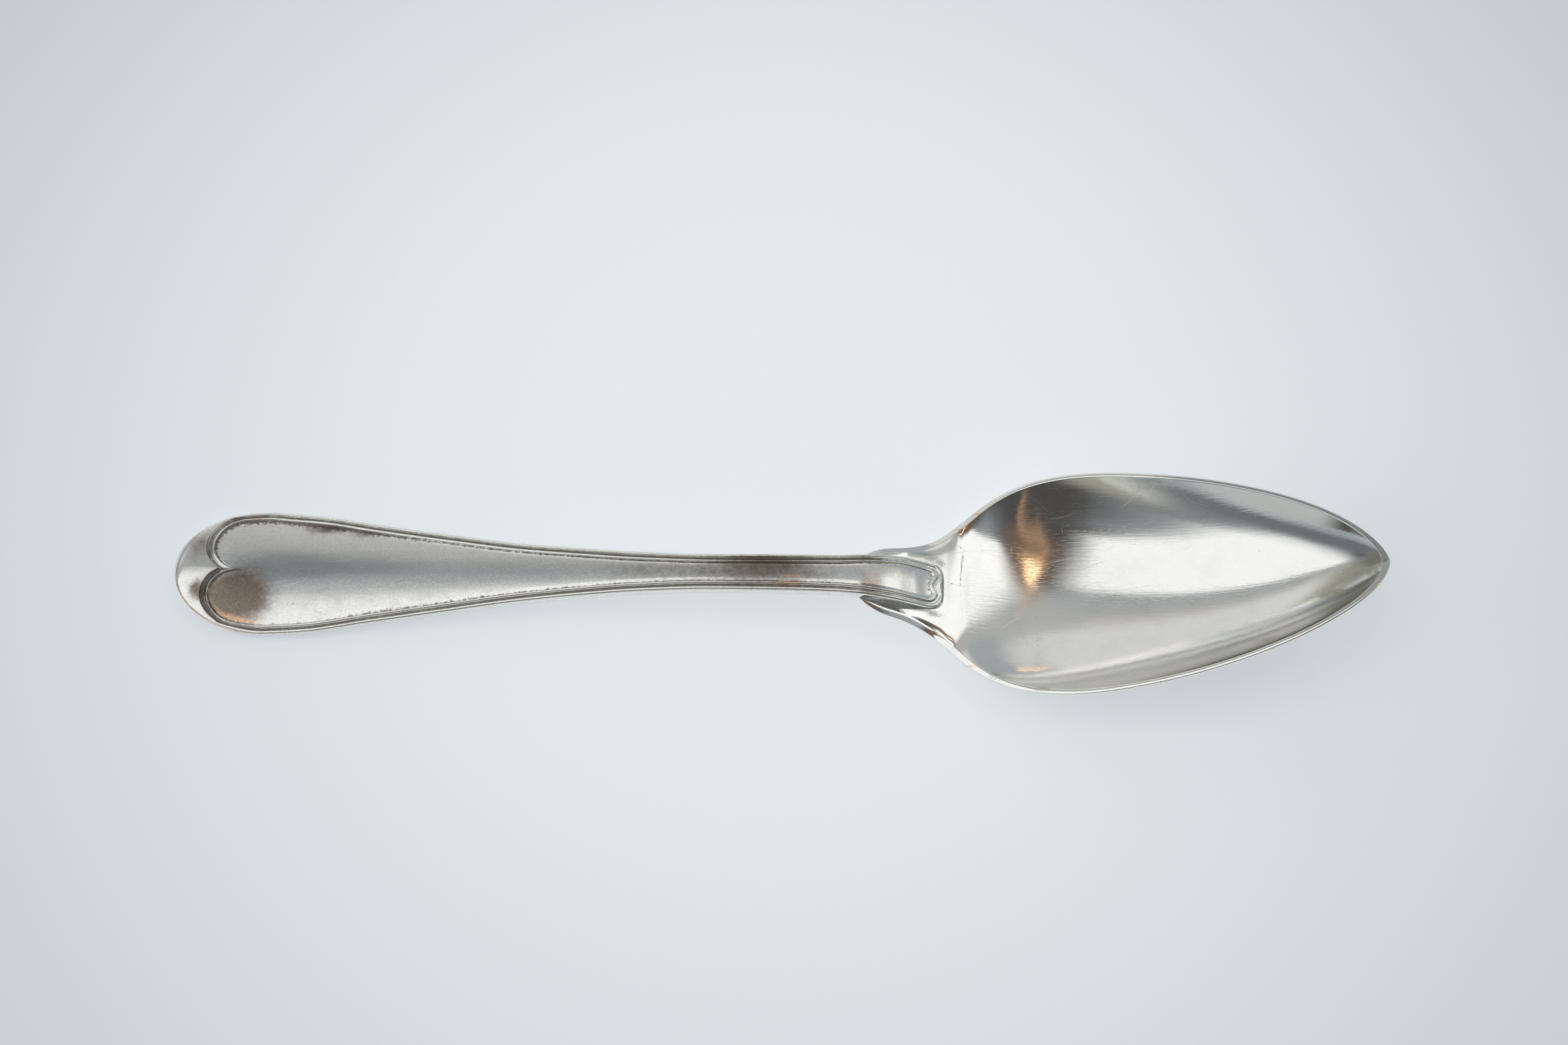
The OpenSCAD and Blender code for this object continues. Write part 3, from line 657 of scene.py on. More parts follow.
def field_rows(i):
    """Rows from the crease to the middle of the field."""
    a, b = inner_path[i], field_axis[i]
    w = math.dist(a, b)
    return [(lerp(a[0], b[0], f), lerp(a[1], b[1], f),
             FIELD_RISE * ease(f * w / RISE_W) - FIELD_DROP - depth(a[0])) for f in FIELD_SHARES]


def ridge(s, t):
    """The soft keel on the turned-up end, from the point of the heart outwards."""
    return RIDGE_H * max(0, 1 - abs(t) / RIDGE_R) ** 1.3 * ease(s / 2) * (1 - ease((s - RIDGE_TO) / 2))


def under_rows(i):
    """Rows of the back, which is flat on the lap and worn where it touches the table."""
    a, b = outline_path[i], under_axis[i]
    rows = []
    for f in UNDER_SHARES:
        s, t = lerp(a[0], b[0], f), lerp(a[1], b[1], f)
        if s < WING_S:
            z = worn(lerp(back(s), face(s) - side(s), min(1, t / max(handle_r(s), 1e-6)) ** 2))
        else:
            z = scarf(s)
        rows.append((s, t, z))
    return rows


def side_rows(i):
    """Rows down the side face."""
    s, t = outline_path[i]
    low = face(s) - side(s) if s < WING_S else scarf(s)
    high = max(face(s) - shoulder(i)[1], low + 0.02)
    return [(s, t, lerp(high, low, f)) for f in SIDE_SHARES]


def handle_rows(i):
    """Every point on one cut of the handle's skin, from the middle of the field to the middle of the back."""
    top = edge_rows(i) + thread_rows(i) + field_rows(i)
    top = [(s, t, face(s) + crown(s, t) + ridge(s, t) + h) for s, t, h in top]
    return list(reversed(top)) + side_rows(i) + under_rows(i)


columns = [handle_rows(i) for i in range(len(outline_path))]
UPPER_ROWS = sum(len(rows_of(0)) for rows_of in (field_rows, thread_rows, edge_rows))
FACE_ROWS = UPPER_ROWS - len(EDGE_SHARES) - 1
print("rows in a cut:", len(columns[0]), "of which on the upper side:", UPPER_ROWS)

# %% The marks of the handle
# Rows are counted from the middle of the field outwards, over the edge and round to the back.
CREASE_ROWS = {9: 0.15, 10: 0.4, 11: 0.75, 12: 1, 13: 1, 14: 0.6, 15: 0.15}
GROOVE_ROWS = {24: 0.2, 25: 0.7, 26: 1, 27: 1, 28: 1, 29: 0.8, 30: 0.35, 31: 0.1}
LOBE_ROWS = {10: 0.5, 11: 0.9, 12: 0.8}
BRACE_ROWS, RIM_ROWS, CORNER_ROWS = range(14), range(41, 47), (*range(16, 21), *range(39, 45))
crease_north = curve([(0, 0.6), (7, 0.75), (12, 0.8), (17, 0.75), (22, 0.95), (31, 1), (37, 0.75), (50, 0.6),
                      (70, 0.75), (85, 0.95), (117, 1), (124, 0.5), (130, 0.3), (136, 0.3)])
crease_south = curve([(0, 0.45), (8, 0.4), (20, 0.3), (40, 0.5), (60, 0.5), (80, 0.6), (100, 0.75),
                      (118, 0.6), (128, 0.3), (136, 0.35)])
groove_north = curve([(0, 0.6), (12, 0.7), (30, 0.85), (45, 1), (118, 1), (126, 0.5), (131, 0.25),
                      (136, 0.2)])
groove_south = curve([(0, 0.75), (20, 0.85), (40, 0.75), (75, 0.9), (118, 0.75), (126, 0.45), (131, 0.3),
                      (136, 0.2)])
# Soft brown patches: on the blade's end and its south lobe, along the north thread, and on the stem.
warm_spots = [(12.0, -4.8, 9, 9, 1.4), (8.5, -5.5, 4, 5, 0.6), (26, 8.6, 7, 1.6, 0.9), (33, 7.6, 5, 1.3, 0.6),
              (104, 0, 20, 5, 0.85), (104, 2.0, 14, 2, 0.4), (84, 0, 16, 4, 0.45), (128, 1.2, 4, 1.6, 0.2),
              (4.0, 4.5, 5, 5, 0.5), (4.5, -4.4, 2.4, 3.2, 0.95)]
# Painted reflection of the warm lamp: golden streaks on the stem.
stem_glint = [(109.3, -0.75, 4.2, 0.42, 1.0), (108.5, -2.1, 4.5, 0.4, 0.8), (108.5, -2.9, 5, 0.35, 0.8)]
# Painted shade: smoky grey spots along the middle of the blade and the stem, and at the blade's end.
painted_shade_spots = [(18, 1.0, 15, 5, 1.0), (30, 1.0, 22, 4, 0.85), (58, 0.5, 36, 3, 0.5), (3.5, 3.5, 5, 5, 0.6),
             (15, -5, 7, 6, 0.5)]
# Painted shade: two small dark eyes in the deeper crease at the lobes of the brace.
brace_eye_shade = [(132.75, 1.05, 0.6, 0.4, 0.7), (132.75, -1.05, 0.6, 0.4, 0.7)]
rim_glint = curve([(0, 0), (2, 0.5), (5, 0.8), (9, 0.8), (14, 0.3), (18, 0)])
lobe_glint = curve([(6.5, 0), (9, 0.6), (11.5, 1), (14, 0.8), (17, 0)])


# The crease mark is tarnish along the crease, with painted shade at the brace's eyes.
def crease_mark(r, k, s, t):
    known = CREASE_ROWS.get(r, 0) * (crease_north(s) if t > 0 else crease_south(s))
    return max(known, spots(s, t, brace_eye_shade) if r in BRACE_ROWS else 0)


def groove_mark(r, k, s, t):
    return GROOVE_ROWS.get(r, 0) * (groove_north(s) if t > 0 else groove_south(s))


def upper_spot_mark(table):
    """A mark of soft spots, on the upper side only."""
    return lambda r, k, s, t: spots(s, t, table) if r < UPPER_ROWS else 0


def painted_glint_mark(r, k, s, t):
    """Painted golden glints of the warm lamp: the rim and the lobe in the south of the blade's end, its north
    corner, and the stem.
    """
    if s < HEART_TO and t < -2:
        if r in RIM_ROWS:
            return rim_glint(s)
        return lobe_glint(s) * LOBE_ROWS.get(r, 0) if s > 6 else 0
    if t > 8 and r in CORNER_ROWS:
        return 0.9 * ease(1 - abs(s - 13) / 2)
    return spots(s, t, stem_glint) if r < UPPER_ROWS and s > 100 else 0


print("darkest crease:", round(crease_north(30), 2))

# %% Sew the handle
def handle_rings():
    last = len(columns) - 1
    rings = []
    for r in range(len(columns[0])):
        near = [place(*columns[i][r]) for i in range(last + 1)]
        away = [(x, -y, z) for x, y, z in reversed(near[1:last])]
        rings.append(near + away)
    return rings


rings = handle_rings()
handle = wrapped_skin("handle_skin", rings, marks_of(rings, {
    "crease": crease_mark, "groove": groove_mark, "warm": upper_spot_mark(warm_spots), "painted_glint": painted_glint_mark,
    "painted_shade": upper_spot_mark(painted_shade_spots), "upper": lambda r, k, s, t: 1 if r < FACE_ROWS else 0}))
print("handle:", len(handle.data.vertices), "points,", len(handle.data.polygons), "faces")

for piece, node, slot_name in ((bowl, "bowl", "bowl_silver"), (handle, "handle", "handle_silver")):
    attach(piece, "root")
    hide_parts(node)
    print(piece.name, "stands for", node)

# %% [markdown]
# ## Wiring nodes
# A finish is a graph of small nodes. Short helpers keep it readable: they place a node with its
# settings and inputs, do arithmetic, make a smooth step or a noise, and lay colour over colour.

# %% Helpers for node trees
def put(tree, kind, inputs=(), **settings):
    """A node with its settings; each input is a value, or a socket to link."""
    made = tree.nodes.new("ShaderNode" + kind)
    for name, value in settings.items():
        setattr(made, name, value)
    for entry, value in dict(inputs).items():
        if isinstance(value, bpy.types.NodeSocket):
            tree.links.new(value, made.inputs[entry])
        else:
            made.inputs[entry].default_value = value
    return made


def calc(tree, operation, *values):
    return put(tree, "Math", enumerate(values), operation=operation).outputs[0]


def step(tree, value, start, end, low=0.0, high=1.0):
    """Low at start, high at end, and a smooth curve between; start may be the larger."""
    return put(tree, "MapRange", {0: value, 1: start, 2: end, 3: low, 4: high},
               interpolation_type="SMOOTHSTEP").outputs[0]


def product(tree, first, *others):
    for other in others:
        first = calc(tree, "MULTIPLY", first, other)
    return first


def greatest(tree, first, *others):
    for other in others:
        first = calc(tree, "MAXIMUM", first, other)
    return first


def noise(tree, place, scale, detail, roughness=0.5):
    return put(tree, "TexNoise", {"Vector": place, "Scale": scale, "Detail": detail,
                                  "Roughness": roughness}).outputs[0]


print("helpers for numbers ready")


# %% Helpers for colours
def opaque(colour):
    return colour if isinstance(colour, bpy.types.NodeSocket) else (*colour, 1)


def tint(tree, share, under, over):
    """The colour over, laid on the colour under by a share."""
    return put(tree, "Mix", {0: share, 6: opaque(under), 7: opaque(over)}, data_type="RGBA").outputs[2]


def layered(tree, colour, *coats):
    """Colours laid one over another; each coat is a share and a colour."""
    for share, coat in coats:
        colour = tint(tree, share, colour, coat)
    return colour


print("helpers for colours ready")

# %% [markdown]
# ## Shared effects of the finish
# Both pieces carry the same kinds of wear, so each kind is one node group, placed in both
# finishes with its own values. Hair scratches are the main one. A Voronoi texture divides the
# surface into cells; in each cell the pattern is turned by the cell's own random angle, and one
# thin line is drawn through the middle. That gives scratches that start and stop at random,
# where a noise would only give a grain.

# %% Hair scratches
def effect(name, inputs, outputs):
    """An empty node group with named inputs and outputs, and the two nodes that hold them."""
    group = bpy.data.node_groups.new(name, "ShaderNodeTree")
    for label, kind, value in inputs:
        entry = group.interface.new_socket(name=label, in_out="INPUT", socket_type="NodeSocket" + kind)
        entry.default_value = value
    for label in outputs:
        group.interface.new_socket(name=label, in_out="OUTPUT", socket_type="NodeSocketFloat")
    return group, group.nodes.new("NodeGroupInput").outputs, group.nodes.new("NodeGroupOutput").inputs


def cells_of(tree, place, size):
    """The Voronoi cells of a surface, and three random numbers for each cell."""
    cells = put(tree, "TexVoronoi", {"Vector": place, "Scale": calc(tree, "DIVIDE", 1, size)},
                voronoi_dimensions="2D").outputs
    return cells, put(tree, "SeparateColor", {0: cells["Color"]}).outputs


hairs, given, result = effect("hair_scratches", [
    ("Place", "Vector", (0, 0, 0)), ("Cell", "Float", 3), ("Length", "Float", 1), ("Width", "Float", 0.06),
    ("Share", "Float", 0.5), ("Turn", "Float", 0), ("Spread", "Float", 3)], ["Mask"])
cells, chance = cells_of(hairs, given["Place"], given["Cell"])
angle = calc(hairs, "MULTIPLY_ADD", calc(hairs, "SUBTRACT", chance[0], 0.5), given["Spread"], given["Turn"])
from_middle = put(hairs, "VectorMath", {0: given["Place"], 1: cells["Position"]}, operation="SUBTRACT")
turned = put(hairs, "VectorRotate", {0: from_middle.outputs[0], 3: angle}, rotation_type="Z_AXIS")
line = put(hairs, "SeparateXYZ", {0: turned.outputs[0]}).outputs
bow = product(hairs, product(hairs, line[0], line[0]),
              product(hairs, calc(hairs, "SUBTRACT", chance[2], 0.5), 0.12))
off_line = calc(hairs, "ABSOLUTE", calc(hairs, "ADD", line[1], bow))
drawn = product(hairs, step(hairs, off_line, given["Width"], 0.0),
                step(hairs, calc(hairs, "ABSOLUTE", line[0]), given["Length"],
                     product(hairs, given["Length"], 0.4)),
                calc(hairs, "LESS_THAN", chance[1], given["Share"]))
hairs.links.new(drawn, result["Mask"])
print(hairs.name, "has", len(hairs.nodes), "nodes")

# %% Ragged edges, for tarnish, brown patches, painted glints and painted shade
ragged, given, result = effect("ragged_marks", [
    ("Place", "Vector", (0, 0, 0)), ("Where", "Float", 0), ("Grain", "Float", 1.5),
    ("Raggedness", "Float", 1), ("Softness", "Float", 0.15)], ["Mask"])
grain = noise(ragged, given["Place"], given["Grain"], 5, 0.68)
lifted = calc(ragged, "MULTIPLY_ADD", calc(ragged, "SUBTRACT", grain, 0.5), given["Raggedness"],
              given["Where"])
ragged.links.new(step(ragged, lifted, calc(ragged, "SUBTRACT", 0.5, given["Softness"]),
                      calc(ragged, "ADD", 0.5, given["Softness"])), result["Mask"])
print(ragged.name, "has", len(ragged.nodes), "nodes")

# %% Pits
pits, given, result = effect("pits", [("Place", "Vector", (0, 0, 0)), ("Cell", "Float", 1.2),
                                      ("Radius", "Float", 0.1), ("Share", "Float", 0.3)], ["Mask"])
cells, chance = cells_of(pits, given["Place"], given["Cell"])
wobble = calc(pits, "ADD", noise(pits, given["Place"], 6, 2), 0.5)
size = product(pits, given["Radius"], calc(pits, "MULTIPLY_ADD", chance[0], 1.3, 0.3), wobble)
dist = product(pits, cells["Distance"], given["Cell"])
pit = product(pits, step(pits, dist, size, product(pits, size, 0.5)),
              calc(pits, "LESS_THAN", chance[1], given["Share"]))
pits.links.new(pit, result["Mask"])
print(pits.name, "has", len(pits.nodes), "nodes")

# %% The old hand-worked surface
worked, given, result = effect("worked_surface", [
    ("Place", "Vector", (0, 0, 0)), ("Along", "Vector", (0, 0, 0)), ("Waves", "Float", 0.006),
    ("Brushing", "Float", 0.0006), ("Grain", "Float", 0.0005)], ["Height", "Streaks"])
waves = noise(worked, given["Place"], 0.11, 2)
streaks = noise(worked, given["Along"], 1, 3, 0.7)
grain = noise(worked, given["Place"], 2.2, 4, 0.65)
level = calc(worked, "MULTIPLY_ADD", waves, given["Waves"],
             calc(worked, "MULTIPLY_ADD", streaks, given["Brushing"], product(worked, grain, given["Grain"])))
worked.links.new(level, result["Height"])
worked.links.new(streaks, result["Streaks"])
print(worked.name, "has", len(worked.nodes), "nodes")

# %% [markdown]
# ## Two finishes of one metal
# The bowl is rubbed lengthwise in use, so its fine streaks run from the neck to the tip: they
# read the bowl's own UV map, which is laid out along and across the bowl. The handle is
# scratched at random by its neighbours in the drawer. Heights are in millimetres, because the
# pattern is read in millimetres and the Bump node is told that one unit is 0.001 m.

# %% UV maps
UV_LEN = 100


def lay_out(skin, r_of):
    """A UV map with the station in one direction and the share of a half width in the other."""
    uv = skin.data.uv_layers.active.data
    for loop in skin.data.loops:
        x, y, z = skin.data.vertices[loop.vertex_index].co
        s = x / MM + TIP_S / 2
        uv[loop.index].uv = (s / UV_LEN, 0.5 + 0.5 * (y / MM) / r_of(s))


lay_out(bowl, lambda s: BOWL_R if s < WIDEST_S else lerp(BOWL_R, outline_r(s), 0.4))
lay_out(handle, lambda s: BLADE_R)
print("UV maps:", bowl.data.uv_layers.active.name, handle.data.uv_layers.active.name)


# %% What both finishes share
def use(tree, group, **inputs):
    """The outputs of a group placed in a tree, with its inputs by name."""
    return put(tree, "Group", inputs, node_tree=group).outputs


def mask(tree, group, place, **inputs):
    return use(tree, group, Place=place, **inputs)["Mask"]


def mark(tree, name):
    return put(tree, "Attribute", attribute_name=name).outputs["Fac"]


def scratches(tree, place, *kinds):
    """The strongest of several kinds of scratch; each kind is its values, then its strengths."""
    return greatest(tree, *[product(tree, mask(tree, hairs, place, **values), *strengths)
                            for values, *strengths in kinds])


def places(tree, along, across):
    """Places in millimetres, and streak places along the piece's own UV map."""
    coordinates = put(tree, "TexCoord").outputs
    place = put(tree, "VectorMath", {0: coordinates["Object"], 3: 1 / MM}, operation="SCALE").outputs[0]
    streak = put(tree, "Mapping", {0: coordinates["UV"], 3: (along, across, 1)}).outputs[0]
    return place, streak


def silver(name, build, brushed=0.0):
    """A metal whose colour, roughness and height are built by a function."""
    metal = bpy.data.materials.new(name)
    metal.use_nodes = True
    tree = metal.node_tree
    shader = tree.nodes["Principled BSDF"]
    shader.inputs["Metallic"].default_value = 1
    shader.inputs["Anisotropic"].default_value = brushed
    shader.inputs["Anisotropic Rotation"].default_value = 0.25
    colour, roughness, level = build(tree)
    tree.links.new(colour, shader.inputs["Base Color"])
    tree.links.new(roughness, shader.inputs["Roughness"])
    bump = put(tree, "Bump", {"Strength": 1, "Distance": MM, "Height": level})
    tree.links.new(bump.outputs[0], shader.inputs["Normal"])
    tree.links.new(put(tree, "Tangent", direction_type="UV_MAP").outputs[0], shader.inputs["Tangent"])
    return metal


# The smoky grey serves both random mottling on the handle and painted shade on both pieces.
CLEAN, DULL, SMOKY_MOTTLE_AND_SHADE = (0.925, 0.92, 0.895), (0.85, 0.845, 0.81), (0.42, 0.445, 0.455)
# The soot black serves tarnish in the grooves, creases and pits, and painted shade at the brace's eyes.
SOOT_AND_SHADE, OLIVE, MOSS = (0.085, 0.07, 0.055), (0.36, 0.34, 0.22), (0.12, 0.11, 0.07)
# The golden colour is only a painted reflection of the warm lamp.
BROWN, GOLDEN_GLINT = (0.185, 0.135, 0.095), (0.90, 0.50, 0.25)
print("clean silver:", CLEAN)


# %% Finish of the handle
def handle_finish(tree):
    place, streak = places(tree, 14, 40)
    scratched = scratches(
        tree, place,
        (dict(Cell=0.55, Length=0.35, Width=0.03, Share=0.9, Turn=0, Spread=6.0), 0.5),
        (dict(Cell=1.3, Length=0.85, Width=0.032, Share=0.7, Turn=-0.1, Spread=1.8), 0.8),
        (dict(Cell=6, Length=4, Width=0.035, Share=0.65, Turn=-0.08, Spread=0.4),))
    body = use(tree, worked, Place=place, Along=streak, Waves=0.004, Brushing=0.0016, Grain=0.0014)
    groove = mask(tree, ragged, place, Where=mark(tree, "groove"), Grain=0.8, Raggedness=0.8, Softness=0.3)
    crease = mask(tree, ragged, place, Where=mark(tree, "crease"), Grain=1.6, Raggedness=1.5, Softness=0.22)
    browned = mask(tree, ragged, place, Where=mark(tree, "warm"), Grain=0.9, Raggedness=0.9, Softness=0.5)
    painted_glint = mask(tree, ragged, place, Where=mark(tree, "painted_glint"), Grain=3.5, Raggedness=1.8, Softness=0.35)
    pitted = product(tree, mask(tree, pits, place, Cell=3.2, Radius=0.09, Share=0.14), mark(tree, "upper"))
    mottled = noise(tree, place, 4, 3, 0.75)
    cloudy = noise(tree, place, 0.35, 4, 0.6)
    colour = layered(
        tree, CLEAN,
        (step(tree, cloudy, 0.4, 0.75), DULL),
        # painted shade: smoky grey spots on the blade and the stem
        (product(tree, mark(tree, "painted_shade"), 0.9), SMOKY_MOTTLE_AND_SHADE),
        (product(tree, browned, 0.95), BROWN),
        (step(tree, mottled, 0.42, 0.66, 0, 0.3), SMOKY_MOTTLE_AND_SHADE),
        # painted reflection of the warm lamp, in gold
        (product(tree, painted_glint, 0.6), GOLDEN_GLINT),
        (product(tree, greatest(tree, groove, crease, pitted), 0.85), SOOT_AND_SHADE))
    soiled = greatest(tree, groove, crease, product(tree, browned, 0.5), pitted)
    roughness = calc(tree, "MULTIPLY_ADD", soiled, 0.18,
                     calc(tree, "MULTIPLY_ADD", scratched, 0.14, step(tree, cloudy, 0.3, 0.8, 0.13, 0.19)))
    cut = calc(tree, "MULTIPLY_ADD", scratched, 0.0028, product(tree, pitted, 0.01))
    return colour, roughness, calc(tree, "SUBTRACT", body["Height"], cut)


handle.data.materials.clear()
handle.data.materials.append(silver("handle_worn_silver", handle_finish))
print(handle.active_material.name, "has", len(handle.active_material.node_tree.nodes), "nodes")


# %% Finish of the bowl
def bowl_finish(tree):
    place, streak = places(tree, 13, 120)
    rubbed = mark(tree, "hollow")
    scratched = scratches(
        tree, place,
        (dict(Cell=3.0, Length=0.8, Width=0.04, Share=0.4, Turn=0.2, Spread=5.0), 0.4),
        (dict(Cell=0.9, Length=0.8, Width=0.03, Share=0.8, Turn=0.0, Spread=0.5), rubbed, 0.55),
        (dict(Cell=7, Length=3.2, Width=0.045, Share=0.5, Turn=0.1, Spread=1.6),),
        (dict(Cell=17, Length=8, Width=0.05, Share=0.6, Turn=0.35, Spread=1.1),))
    body = use(tree, worked, Place=place, Along=streak, Waves=0.004, Grain=0.0005,
               Brushing=calc(tree, "MULTIPLY_ADD", rubbed, 0.009, 0.001))
    lap = mask(tree, ragged, place, Where=mark(tree, "lap"), Grain=5, Raggedness=2.4, Softness=0.3)
    heel_line = mask(tree, ragged, place, Where=mark(tree, "heel_line"), Grain=1.6, Raggedness=1.2,
                     Softness=0.35)
    stain = mask(tree, ragged, place, Where=mark(tree, "stain"), Grain=0.9, Raggedness=1.3, Softness=0.25)
    speckled = mask(tree, ragged, place, Where=product(tree, mark(tree, "pitted"), 0.36), Grain=2.6,
                    Raggedness=1.5, Softness=0.08)
    painted_glint = mask(tree, ragged, place, Where=mark(tree, "painted_glint"), Grain=2.5, Raggedness=0.7, Softness=0.3)
    pitted = mask(tree, pits, place, Cell=7, Radius=0.11, Share=0.22)
    cloudy = noise(tree, place, 0.2, 4, 0.6)
    dark = greatest(tree, product(tree, lap, 0.7), heel_line, product(tree, speckled, 0.7), pitted)
    colour = layered(
        tree, CLEAN,
        (step(tree, cloudy, 0.4, 0.8), DULL),
        # painted shade: smoky grey under the rim towards the tip
        (product(tree, mark(tree, "painted_shade"), 0.85), SMOKY_MOTTLE_AND_SHADE),
        (product(tree, stain, 0.45), OLIVE),
        # painted reflection of the warm lamp, in gold
        (product(tree, painted_glint, 0.8), GOLDEN_GLINT),
        (product(tree, dark, 0.75), MOSS))
    streaky = calc(tree, "MULTIPLY_ADD", rubbed, step(tree, body["Streaks"], 0.35, 0.7, 0.0, 0.05), 0.055)
    roughness = calc(tree, "MULTIPLY_ADD", greatest(tree, dark, stain), 0.2,
                     calc(tree, "MULTIPLY_ADD", scratched, 0.12, streaky))
    cut = calc(tree, "MULTIPLY_ADD", scratched, 0.003, product(tree, pitted, 0.015))
    return colour, roughness, calc(tree, "SUBTRACT", body["Height"], cut)


bowl.data.materials.clear()
bowl.data.materials.append(silver("bowl_worn_silver", bowl_finish, brushed=0.75))
print(bowl.active_material.name, "has", len(bowl.active_material.node_tree.nodes), "nodes")

# %% [markdown]
# ## The table
# The spoon lies on smooth pale card, lit so evenly that only a faint shadow is left beside it.
# The card is a plain diffuse surface, which takes the shadow. A little light of its own, which
# only the camera and the silver see, brings it to the tone of the photograph without putting
# any more light on the spoon.

# %% Table
TABLE_SIZE, TABLE_Z = 3, -0.0001
# Near and far tones of a painted pool of light on the card.
CARD_NEAR, CARD_FAR = (0.80, 0.835, 0.865), (0.52, 0.565, 0.61)
GLOW_NEAR, GLOW_FAR, GLOW = (0.93, 0.97, 1.0), (0.60, 0.65, 0.71), 0.36
BRIGHT_PLACE, BRIGHT_R, DARK_R = (0.0, 0.03, 0), 0.03, 0.24

bpy.ops.mesh.primitive_plane_add(size=TABLE_SIZE, location=(0, 0, TABLE_Z))
table = bpy.context.active_object
table.name = "table"
card = bpy.data.materials.new("table_card")
card.use_nodes = True
tree = card.node_tree
shader = tree.nodes["Principled BSDF"]
here = put(tree, "TexCoord").outputs["Object"]
off = put(tree, "VectorMath", {0: here, 1: BRIGHT_PLACE}, operation="SUBTRACT").outputs[0]
off = put(tree, "Mapping", {0: off, 3: (1.0, 0.95, 1)}).outputs[0]
away = put(tree, "VectorMath", {0: off}, operation="LENGTH").outputs["Value"]
# Painted pool of light: the card's colour and its own light fade darker away from a bright place beside the
# spoon.
shade = step(tree, away, BRIGHT_R, DARK_R)
rays = put(tree, "LightPath").outputs
seen = calc(tree, "MAXIMUM", rays["Is Camera Ray"], rays["Is Glossy Ray"])
tree.links.new(tint(tree, shade, CARD_NEAR, CARD_FAR), shader.inputs["Base Color"])
tree.links.new(tint(tree, shade, GLOW_NEAR, GLOW_FAR), shader.inputs["Emission Color"])
shader.inputs["Roughness"].default_value = 0.8
tree.links.new(product(tree, seen, GLOW), shader.inputs["Emission Strength"])
table.data.materials.append(card)
print("table:", table.name)

# %% Camera
FOCAL_PX, PHOTO_W_PX, SENSOR_W = 4000, 2352, 36
CAMERA_PLACE, CAMERA_TILT, CAMERA_TURN = (0.01029, -0.20225, 0.4252), 27, 2.2
camera_data = bpy.data.cameras.new("camera")
camera = bpy.data.objects.new("camera", camera_data)
bpy.context.scene.collection.objects.link(camera)
camera_data.sensor_width = SENSOR_W
camera_data.lens = FOCAL_PX * SENSOR_W / PHOTO_W_PX
camera_data.clip_start, camera_data.clip_end = 0.02, 20
camera.location = CAMERA_PLACE
camera.rotation_euler = (math.radians(CAMERA_TILT), 0, math.radians(CAMERA_TURN))
bpy.context.scene.camera = camera
print("lens:", round(camera_data.lens, 1), "mm")

# %% [markdown]
# ## The studio
# Polished silver has hardly a colour of its own: what shows is the room. A photographer of
# silver therefore builds the room first: a wide white box on the left, a smaller one on the right,
# grey walls, a dark gap where the camera stands, and here also a warm lamp that is on in the
# room. The world is painted with these by direction. East and north are the angles, in degrees,
# that a direction leans from straight up towards X and Y, so a flat piece of silver under the
# camera mirrors what stands about 27 degrees north.

# %% The world
world = bpy.data.worlds.new("studio")
bpy.context.scene.world = world
world.use_nodes = True
room = world.node_tree
room.nodes.clear()
ray = put(room, "SeparateXYZ", {0: put(room, "TexCoord").outputs["Generated"]}).outputs
height = calc(room, "MAXIMUM", ray[2], 0.001)
east = calc(room, "DEGREES", calc(room, "ARCTAN2", ray[0], height))
north = calc(room, "DEGREES", calc(room, "ARCTAN2", ray[1], height))


def band(value, start, end, soft):
    """Two soft steps, whose product is 1 between two angles and 0 outside."""
    return step(room, value, start - soft, start + soft), step(room, value, end + soft, end - soft)


def panel(e0, e1, n0, n1, soft):
    """Share of a direction that lies in a soft-edged panel of the room."""
    return product(room, *band(east, e0, e1, soft), *band(north, n0, n1, soft))


WALL, NORTH_WALL, WEST_CORNER = (0.41, 0.405, 0.38), (0.68, 0.68, 0.66), (0.30, 0.30, 0.26)
WINDOW_STRIP, EAST_CORNER = (0.95, 0.94, 0.86), (0.34, 0.34, 0.30)
walls = layered(
    room, WALL,
    (step(room, north, 30, 46), NORTH_WALL),
    (panel(-100, -64, 36, 82, 8), WEST_CORNER),
    (panel(-75, -25, 73, 86, 4), WINDOW_STRIP),
    (panel(32, 120, 52, 120, 8), EAST_CORNER))
print("walls painted")

# %% The dark side of the room
BLUE_BAND, CAMERA_GAP, EAST_WALL = (0.37, 0.40, 0.415), (0.075, 0.072, 0.07), (0.36, 0.395, 0.415)
SOUTH_WALL, LOW_PANEL = (0.36, 0.35, 0.29), (0.66, 0.66, 0.58)
dark_side = layered(
    room, walls,
    (panel(-70, 11, 19, 30, 1.5), BLUE_BAND),
    (panel(-78, 100, -90, 21, 3), CAMERA_GAP),
    (step(room, north, -60, -72), SOUTH_WALL),
    (panel(-72, -46, -100, -70, 5), LOW_PANEL),
    (product(room, step(room, east, 9, 26), step(room, north, -48, -8)), EAST_WALL))
print("dark side painted")

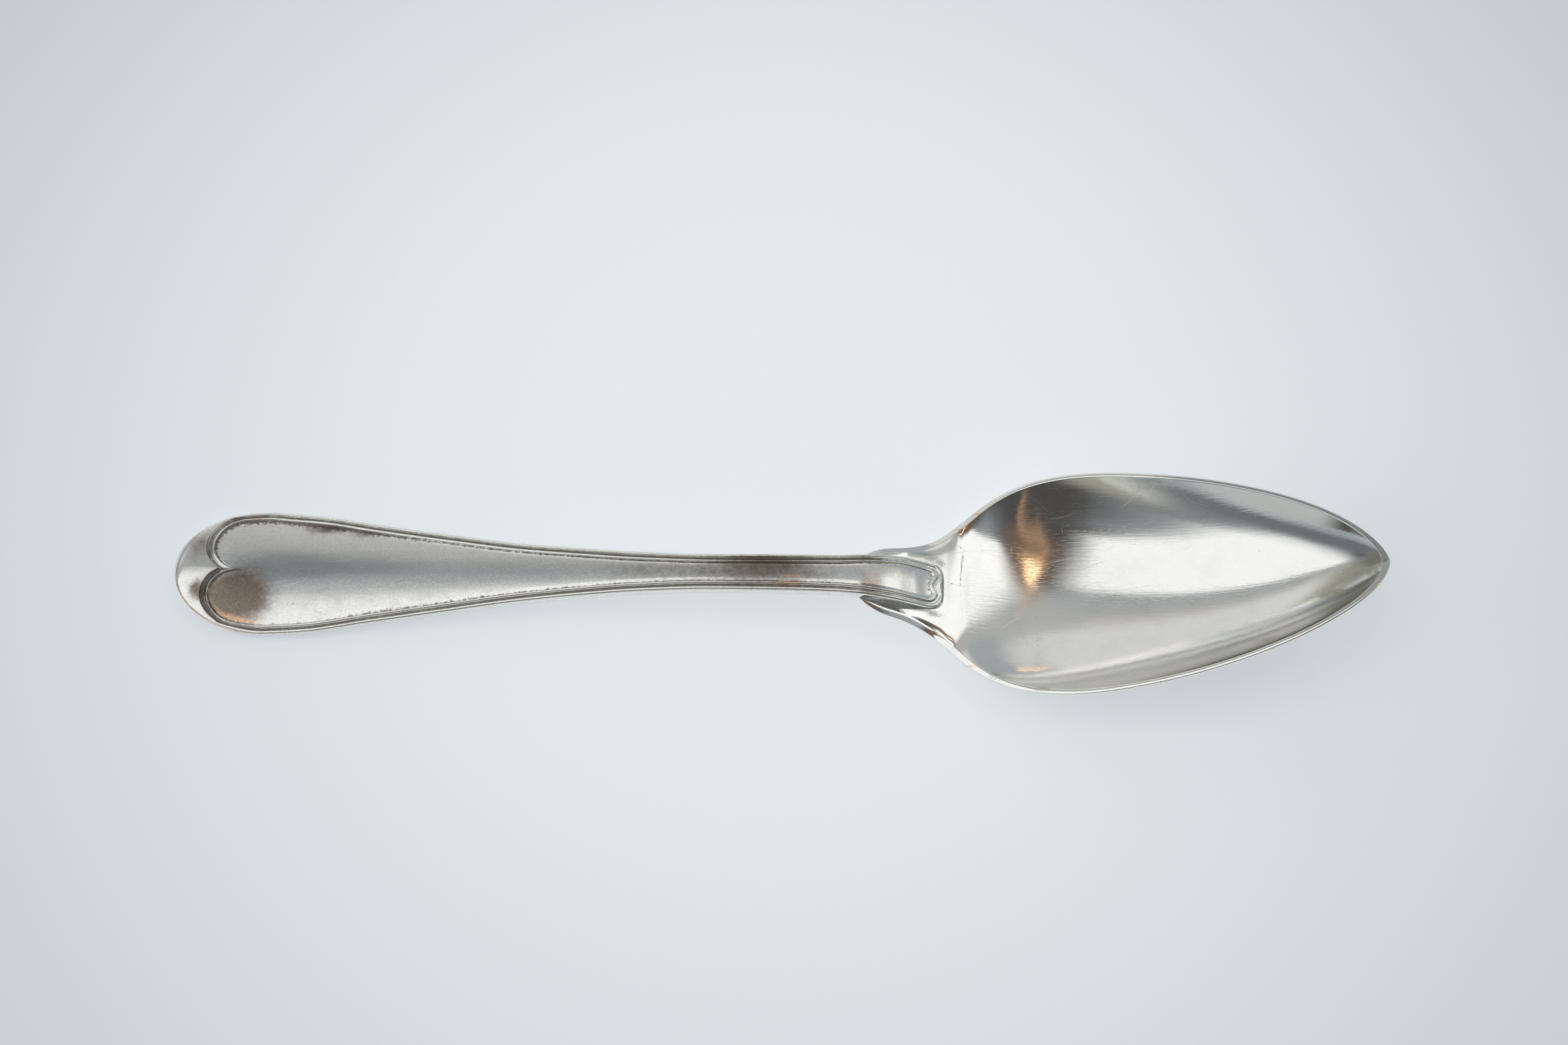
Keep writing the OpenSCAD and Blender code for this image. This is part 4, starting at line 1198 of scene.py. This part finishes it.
# %% The white boxes
HAZE, LEFT_BOX = (0.27, 0.305, 0.32), (0.99, 0.995, 0.98)
GREY_PANEL, RIGHT_BOX = (0.44, 0.445, 0.43), (1.06, 1.06, 1.04)
south = calc(room, "MAXIMUM", calc(room, "MULTIPLY_ADD", north, -1, -20), 0)
far_south = calc(room, "MAXIMUM", calc(room, "MULTIPLY_ADD", north, -1, -60), 0)
edge_of_box = calc(room, "MULTIPLY_ADD", calc(room, "ADD", south, far_south), -1.05,
                   calc(room, "MULTIPLY_ADD", calc(room, "MAXIMUM", north, -20), 0.25, 3))
off_box = calc(room, "DIVIDE", calc(room, "SUBTRACT", east, edge_of_box),
               calc(room, "MULTIPLY_ADD", south, 0.05, 1))
haze = product(room, step(room, off_box, 10, 2), step(room, north, 21, 17), step(room, south, 0, 20))
left_box = product(room, step(room, off_box, 3.5, -3.5), step(room, north, 21.5, 18.5),
                   step(room, east, -78, -68))
right_box = product(room, step(room, east, 14, 18), step(room, east, 56, 38), step(room, north, 0, 6),
                    step(room, calc(room, "MULTIPLY_ADD", east, -0.45, north), 19.5, 16))
boxes = layered(
    room, dark_side,
    (haze, HAZE),
    (left_box, LEFT_BOX),
    (panel(8, 60, 28, 41, 3), GREY_PANEL),
    (right_box, RIGHT_BOX))
print("boxes hung")

# %% The warm lamp
LAMP_SHADE, LAMP_LINE, FLAME = (0.19, 0.125, 0.09), (0.75, 0.45, 0.25), (0.95, 0.54, 0.27)
BULB, FAR_GLINT = (7.0, 4.8, 2.8), (2.2, 1.3, 0.65)
lean = calc(room, "MAXIMUM", product(room, north, 0.07), product(room, north, 0.3))
lamp_line = calc(room, "ADD", 8.0, lean)
beside_lamp = calc(room, "SUBTRACT", east, lamp_line)
off_lamp = calc(room, "ABSOLUTE", beside_lamp)
off_glow = calc(room, "ABSOLUTE", calc(room, "SUBTRACT", beside_lamp, 1.8))


def light_line(off, half, core, far, top, low, base):
    """A line of light along the lamp: its half width and core, and where it fades north and south."""
    along = product(room, step(room, north, far, top), step(room, north, low, base))
    return product(room, step(room, off, half, core), along)


lit = layered(
    room, boxes,
    (product(room, light_line(off_glow, 6.5, 0.5, 29, 20, -26, -4), 0.8), LAMP_SHADE),
    (product(room, light_line(off_lamp, 1.3, 0.1, 36, 22, -66, -35), 0.5), LAMP_LINE),
    (light_line(off_lamp, 1.2, 0.1, 25, 17, 1, 10), FLAME),
    (light_line(off_lamp, 0.3, 0.1, 22, 17, 6, 12), BULB),
    (panel(19.5, 22.5, 75, 79, 1.5), FAR_GLINT))
print("lamp lit")

# %% What the camera sees past the table
PAST_TABLE = (0.76, 0.79, 0.81)
shown = tint(room, put(room, "LightPath").outputs["Is Camera Ray"], lit, PAST_TABLE)
background = put(room, "Background", {0: shown, 1: 1.0})
room.links.new(background.outputs[0], put(room, "OutputWorld").inputs[0])
bpy.context.scene.view_settings.view_transform = "Standard"
print("world nodes:", len(room.nodes))
